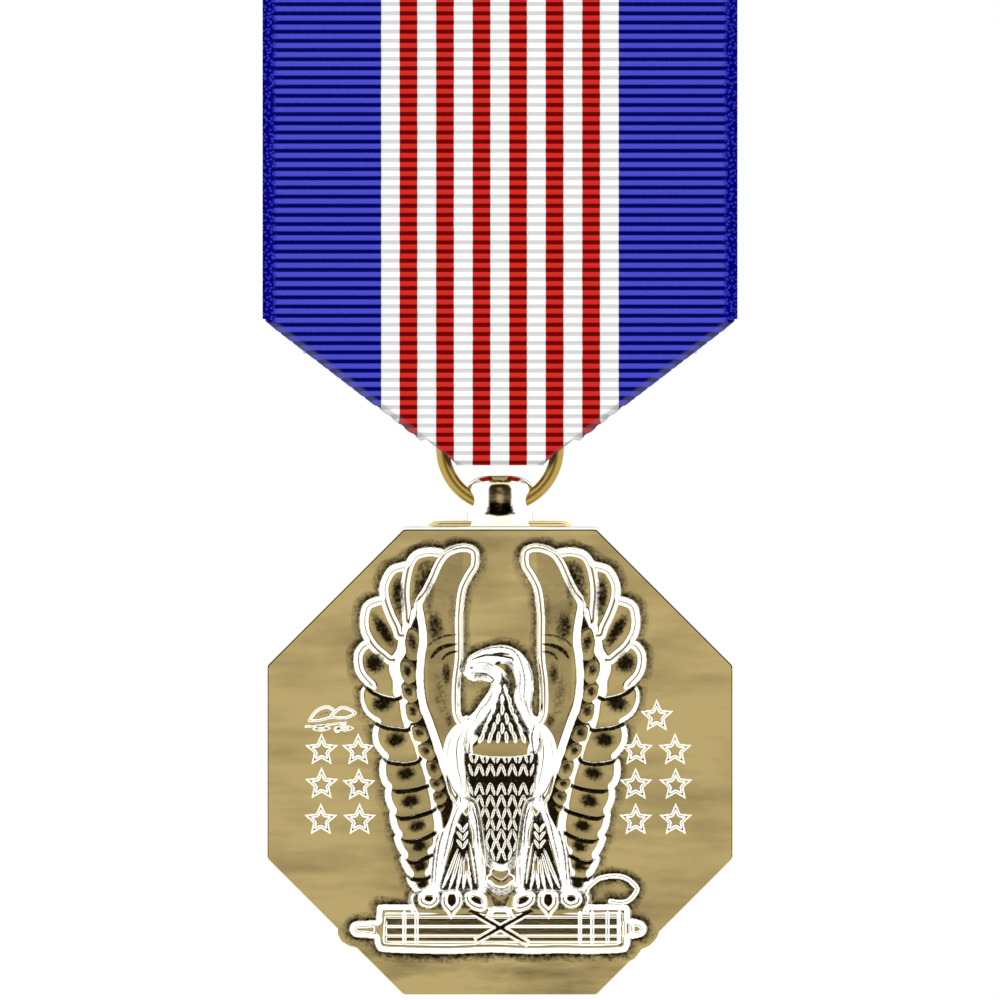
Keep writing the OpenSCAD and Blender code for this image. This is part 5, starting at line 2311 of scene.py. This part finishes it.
    def _lift(
        self, s: np.ndarray, t: np.ndarray, y: np.ndarray, z: np.ndarray, angle: np.ndarray
    ) -> np.ndarray:
        """Half the cloth's thickness, square to its surface.

        The ribs are a cosine along the strip, squared off a little, and fade at the woven edge.

        Args:
            s: the rows' places along the strip.
            t: the points' places across it.
            y: the rows' depths.
            z: the rows' heights.
            angle: how far each point is turned over.

        Returns:
            The vectors from the middle surface to the outer one.
        """
        ribs = -self.rib * np.tanh(1.6 * np.cos(2 * math.pi * s / self.pitch)) / math.tanh(1.6)
        fade = 1 - 0.7 * smooth((np.abs(t) - 16.5) / 0.5)
        height = self.thick / 2 + (ribs[:, None] + self.rib * 0.2) * fade
        dy, dz = np.gradient(y, s), np.gradient(z, s)
        size = np.hypot(dy, dz)
        level = np.cos(angle)
        normal = [
            np.sign(t) * np.sin(angle) * self.across[0],
            (dz / size)[:, None] * level,
            (-dy / size)[:, None] * level + np.sin(angle) * self.across[1],
        ]
        return height[..., None] * np.stack(normal, -1)

    def _kept(self, s: np.ndarray, t: np.ndarray, z: np.ndarray, turn: float) -> np.ndarray:
        """Picks the cells that exist: the straight stretch and the lowest fold have no flaps.

        Args:
            s: the rows' places along the strip.
            t: the points' places across it.
            z: the rows' heights.
            turn: the lowest fold's place along the strip.

        Returns:
            Whether each cell exists.
        """
        at_fold = np.abs(s - turn) < np.where(s > turn, self.open_back, self.open_front)
        bare = (z > CAD.shoulder_z - 0.05) | at_fold
        bare = bare[:-1] | bare[1:]
        keep = np.ones((len(s) - 1, t.shape[1] - 1), bool)
        flap = self.bend_steps + self.flap_steps
        keep[bare, :flap] = False
        keep[bare, -flap:] = False
        return keep

    def build(self) -> bpy.types.Object:
        """Makes the strip by folding a flat grid.

        Returns:
            The piece.
        """
        path, length = self._path()
        total, turn = length[-1], length[np.argmin(path[:, 1])]
        # Rows: six to a rib in front, four behind.
        last_front = turn + 0.6
        front = np.arange(0, last_front, self.pitch / 6)
        s = np.concatenate([front, np.arange(last_front, total, self.pitch / 4), [total]])
        y, z = np.interp(s, length, path[:, 0]), np.interp(s, length, path[:, 1])
        behind = s > turn
        t, core = self._columns(z)
        middle, angle = self._folded(t, core, y, z, behind)
        lift = self._lift(s, t, y, z, angle)
        mesh = Mesh()
        along = np.broadcast_to(s[:, None], t.shape)
        skin(mesh, middle + lift, middle - lift, self._kept(s, t, z, turn), np.stack([t, along], -1))
        ribbon = mesh.build(self.name)
        rows = ~behind & (z < 0)
        cloth = Grosgrain(
            shoulder=float(np.interp(-CAD.shoulder_z, -z[rows], s[rows])),
            slope=self.slope,
            half=CAD.ribbon_w / 2,
            drop=CAD.shoulder_z - CAD.fold_z,
        )
        dress(ribbon, cloth, Slot.RIBBON, None, ["ribbon_header", "ribbon_drape"])
        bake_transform(ribbon)
        return ribbon


# ---------------------------------------------------------------- brooch


@dataclass
class Brooch:
    """The brooch's metal, shown by the CAD's own solids."""

    def build(self) -> None:
        """Gives the CAD solids their finishes."""
        finishes = {
            "brooch_bar": BRASS,
            "brooch_back_plate": BRASS,
            "brooch_rivets": BRASS,
            "pin_joint": BRASS,
            "joint_rivet": STEEL,
            "pin_stem": STEEL,
            "catch_housing": BRASS,
            "catch_rotor": BRASS,
            "ribbon_stiffener": CARD,
            "back_stitches": THREAD,
        }
        for node, finish in finishes.items():
            mesh = frame["nodes"][node].data
            mesh.materials.clear()
            mesh.materials.append(finish.material())


# ---------------------------------------------------------------- stage


@dataclass
class Studio:
    """Camera, floor and soft light.

    Args:
        lens: focal length in millimetres.
        frame_w: width that the camera sees at the medal's face.
        middle_z: height at the middle of its view.
        sensor_w: width of the camera's sensor.
        floor_r: radius of the floor.
        floor_z: height of the floor.
    """

    lens: float = 700.0
    frame_w: float = 73.69
    middle_z: float = -40.87
    sensor_w: float = 36.0
    floor_r: float = 600.0
    floor_z: float = -170.0

    def _camera(self) -> None:
        """Places the camera straight in front."""
        data = bpy.data.cameras.new("camera")
        data.lens = self.lens
        data.sensor_width = self.sensor_w
        cam = bpy.data.objects.new("camera", data)
        bpy.context.scene.collection.objects.link(cam)
        reach = self.frame_w * self.lens / self.sensor_w
        cam.location = (0, (CAD.cloth_front - reach) * MM, self.middle_z * MM)
        cam.rotation_euler = (math.pi / 2, 0, 0)
        data.clip_start = 0.01
        data.clip_end = 50
        bpy.context.scene.camera = cam

    def _floor(self) -> None:
        """Lays a pale round floor well below the medal."""
        angle = np.linspace(0, 2 * math.pi, 96, endpoint=False)
        x, y = self.floor_r * np.cos(angle), self.floor_r * np.sin(angle)
        heights = (self.floor_z - 1.0, self.floor_z)
        rings = np.array([np.column_stack([x, y, np.full(len(x), z)]) for z in heights])
        floor = Mesh().loft(rings).build("floor")
        floor.data.materials.append(Plain("pale_floor", (0.9, 0.9, 0.9), 0.9).material())
        floor.visible_glossy = False

    def _light(self) -> None:
        """Sets the soft white surroundings, with the dark patch where the camera stands."""
        world = bpy.data.worlds.new("surroundings")
        bpy.context.scene.world = world
        world.use_nodes = True
        n = Nodes(world.node_tree)
        out = n.add("ShaderNodeOutputWorld")
        place = n.add("ShaderNodeTexCoord")
        parts = n.add("ShaderNodeSeparateXYZ")
        n.put(parts.inputs[0], place.outputs["Generated"])
        theta = n.math("ARCCOSINE", n.math("ABSOLUTE", parts.outputs["Y"]))
        near = n.band(theta, 0.0, 0.19)
        far = n.band(theta, 0.36, 0.47)
        upward = n.band(parts.outputs["Z"], -0.12, 0.08)
        dim = n.mix(upward, rgba((0.52, 0.50, 0.42)), rgba((0.03, 0.022, 0.02)))
        core = n.mix(near, rgba((0.60, 0.565, 0.46)), dim)
        gloss = n.mix(far, core, rgba((1.25, 1.25, 1.22)))
        paths = n.add("ShaderNodeLightPath")
        colour = n.mix(paths.outputs["Is Glossy Ray"], rgba((1.0, 1.0, 1.0)), gloss)
        back = n.add("ShaderNodeBackground")
        n.put(back.inputs["Color"], colour)
        n.put(out.inputs["Surface"], back.outputs[0])
        lamp = bpy.data.lights.new("key", "AREA")
        lamp.energy = 1.2
        lamp.size = 0.5
        key = bpy.data.objects.new("key", lamp)
        bpy.context.scene.collection.objects.link(key)
        key.location = (-0.25, -0.45, 0.45)
        key.rotation_euler = (math.radians(50), 0, math.radians(-30))
        key.visible_glossy = False

    def build(self) -> None:
        """Makes the camera, floor and light."""
        self._camera()
        self._floor()
        self._light()
        bpy.context.scene.view_settings.view_transform = "Standard"


def main() -> None:
    """Builds every piece."""
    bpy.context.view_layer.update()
    Medallion().build()
    Suspension().build()
    Ribbon().build()
    Brooch().build()
    Studio().build()


if __name__ == "__main__":
    main()
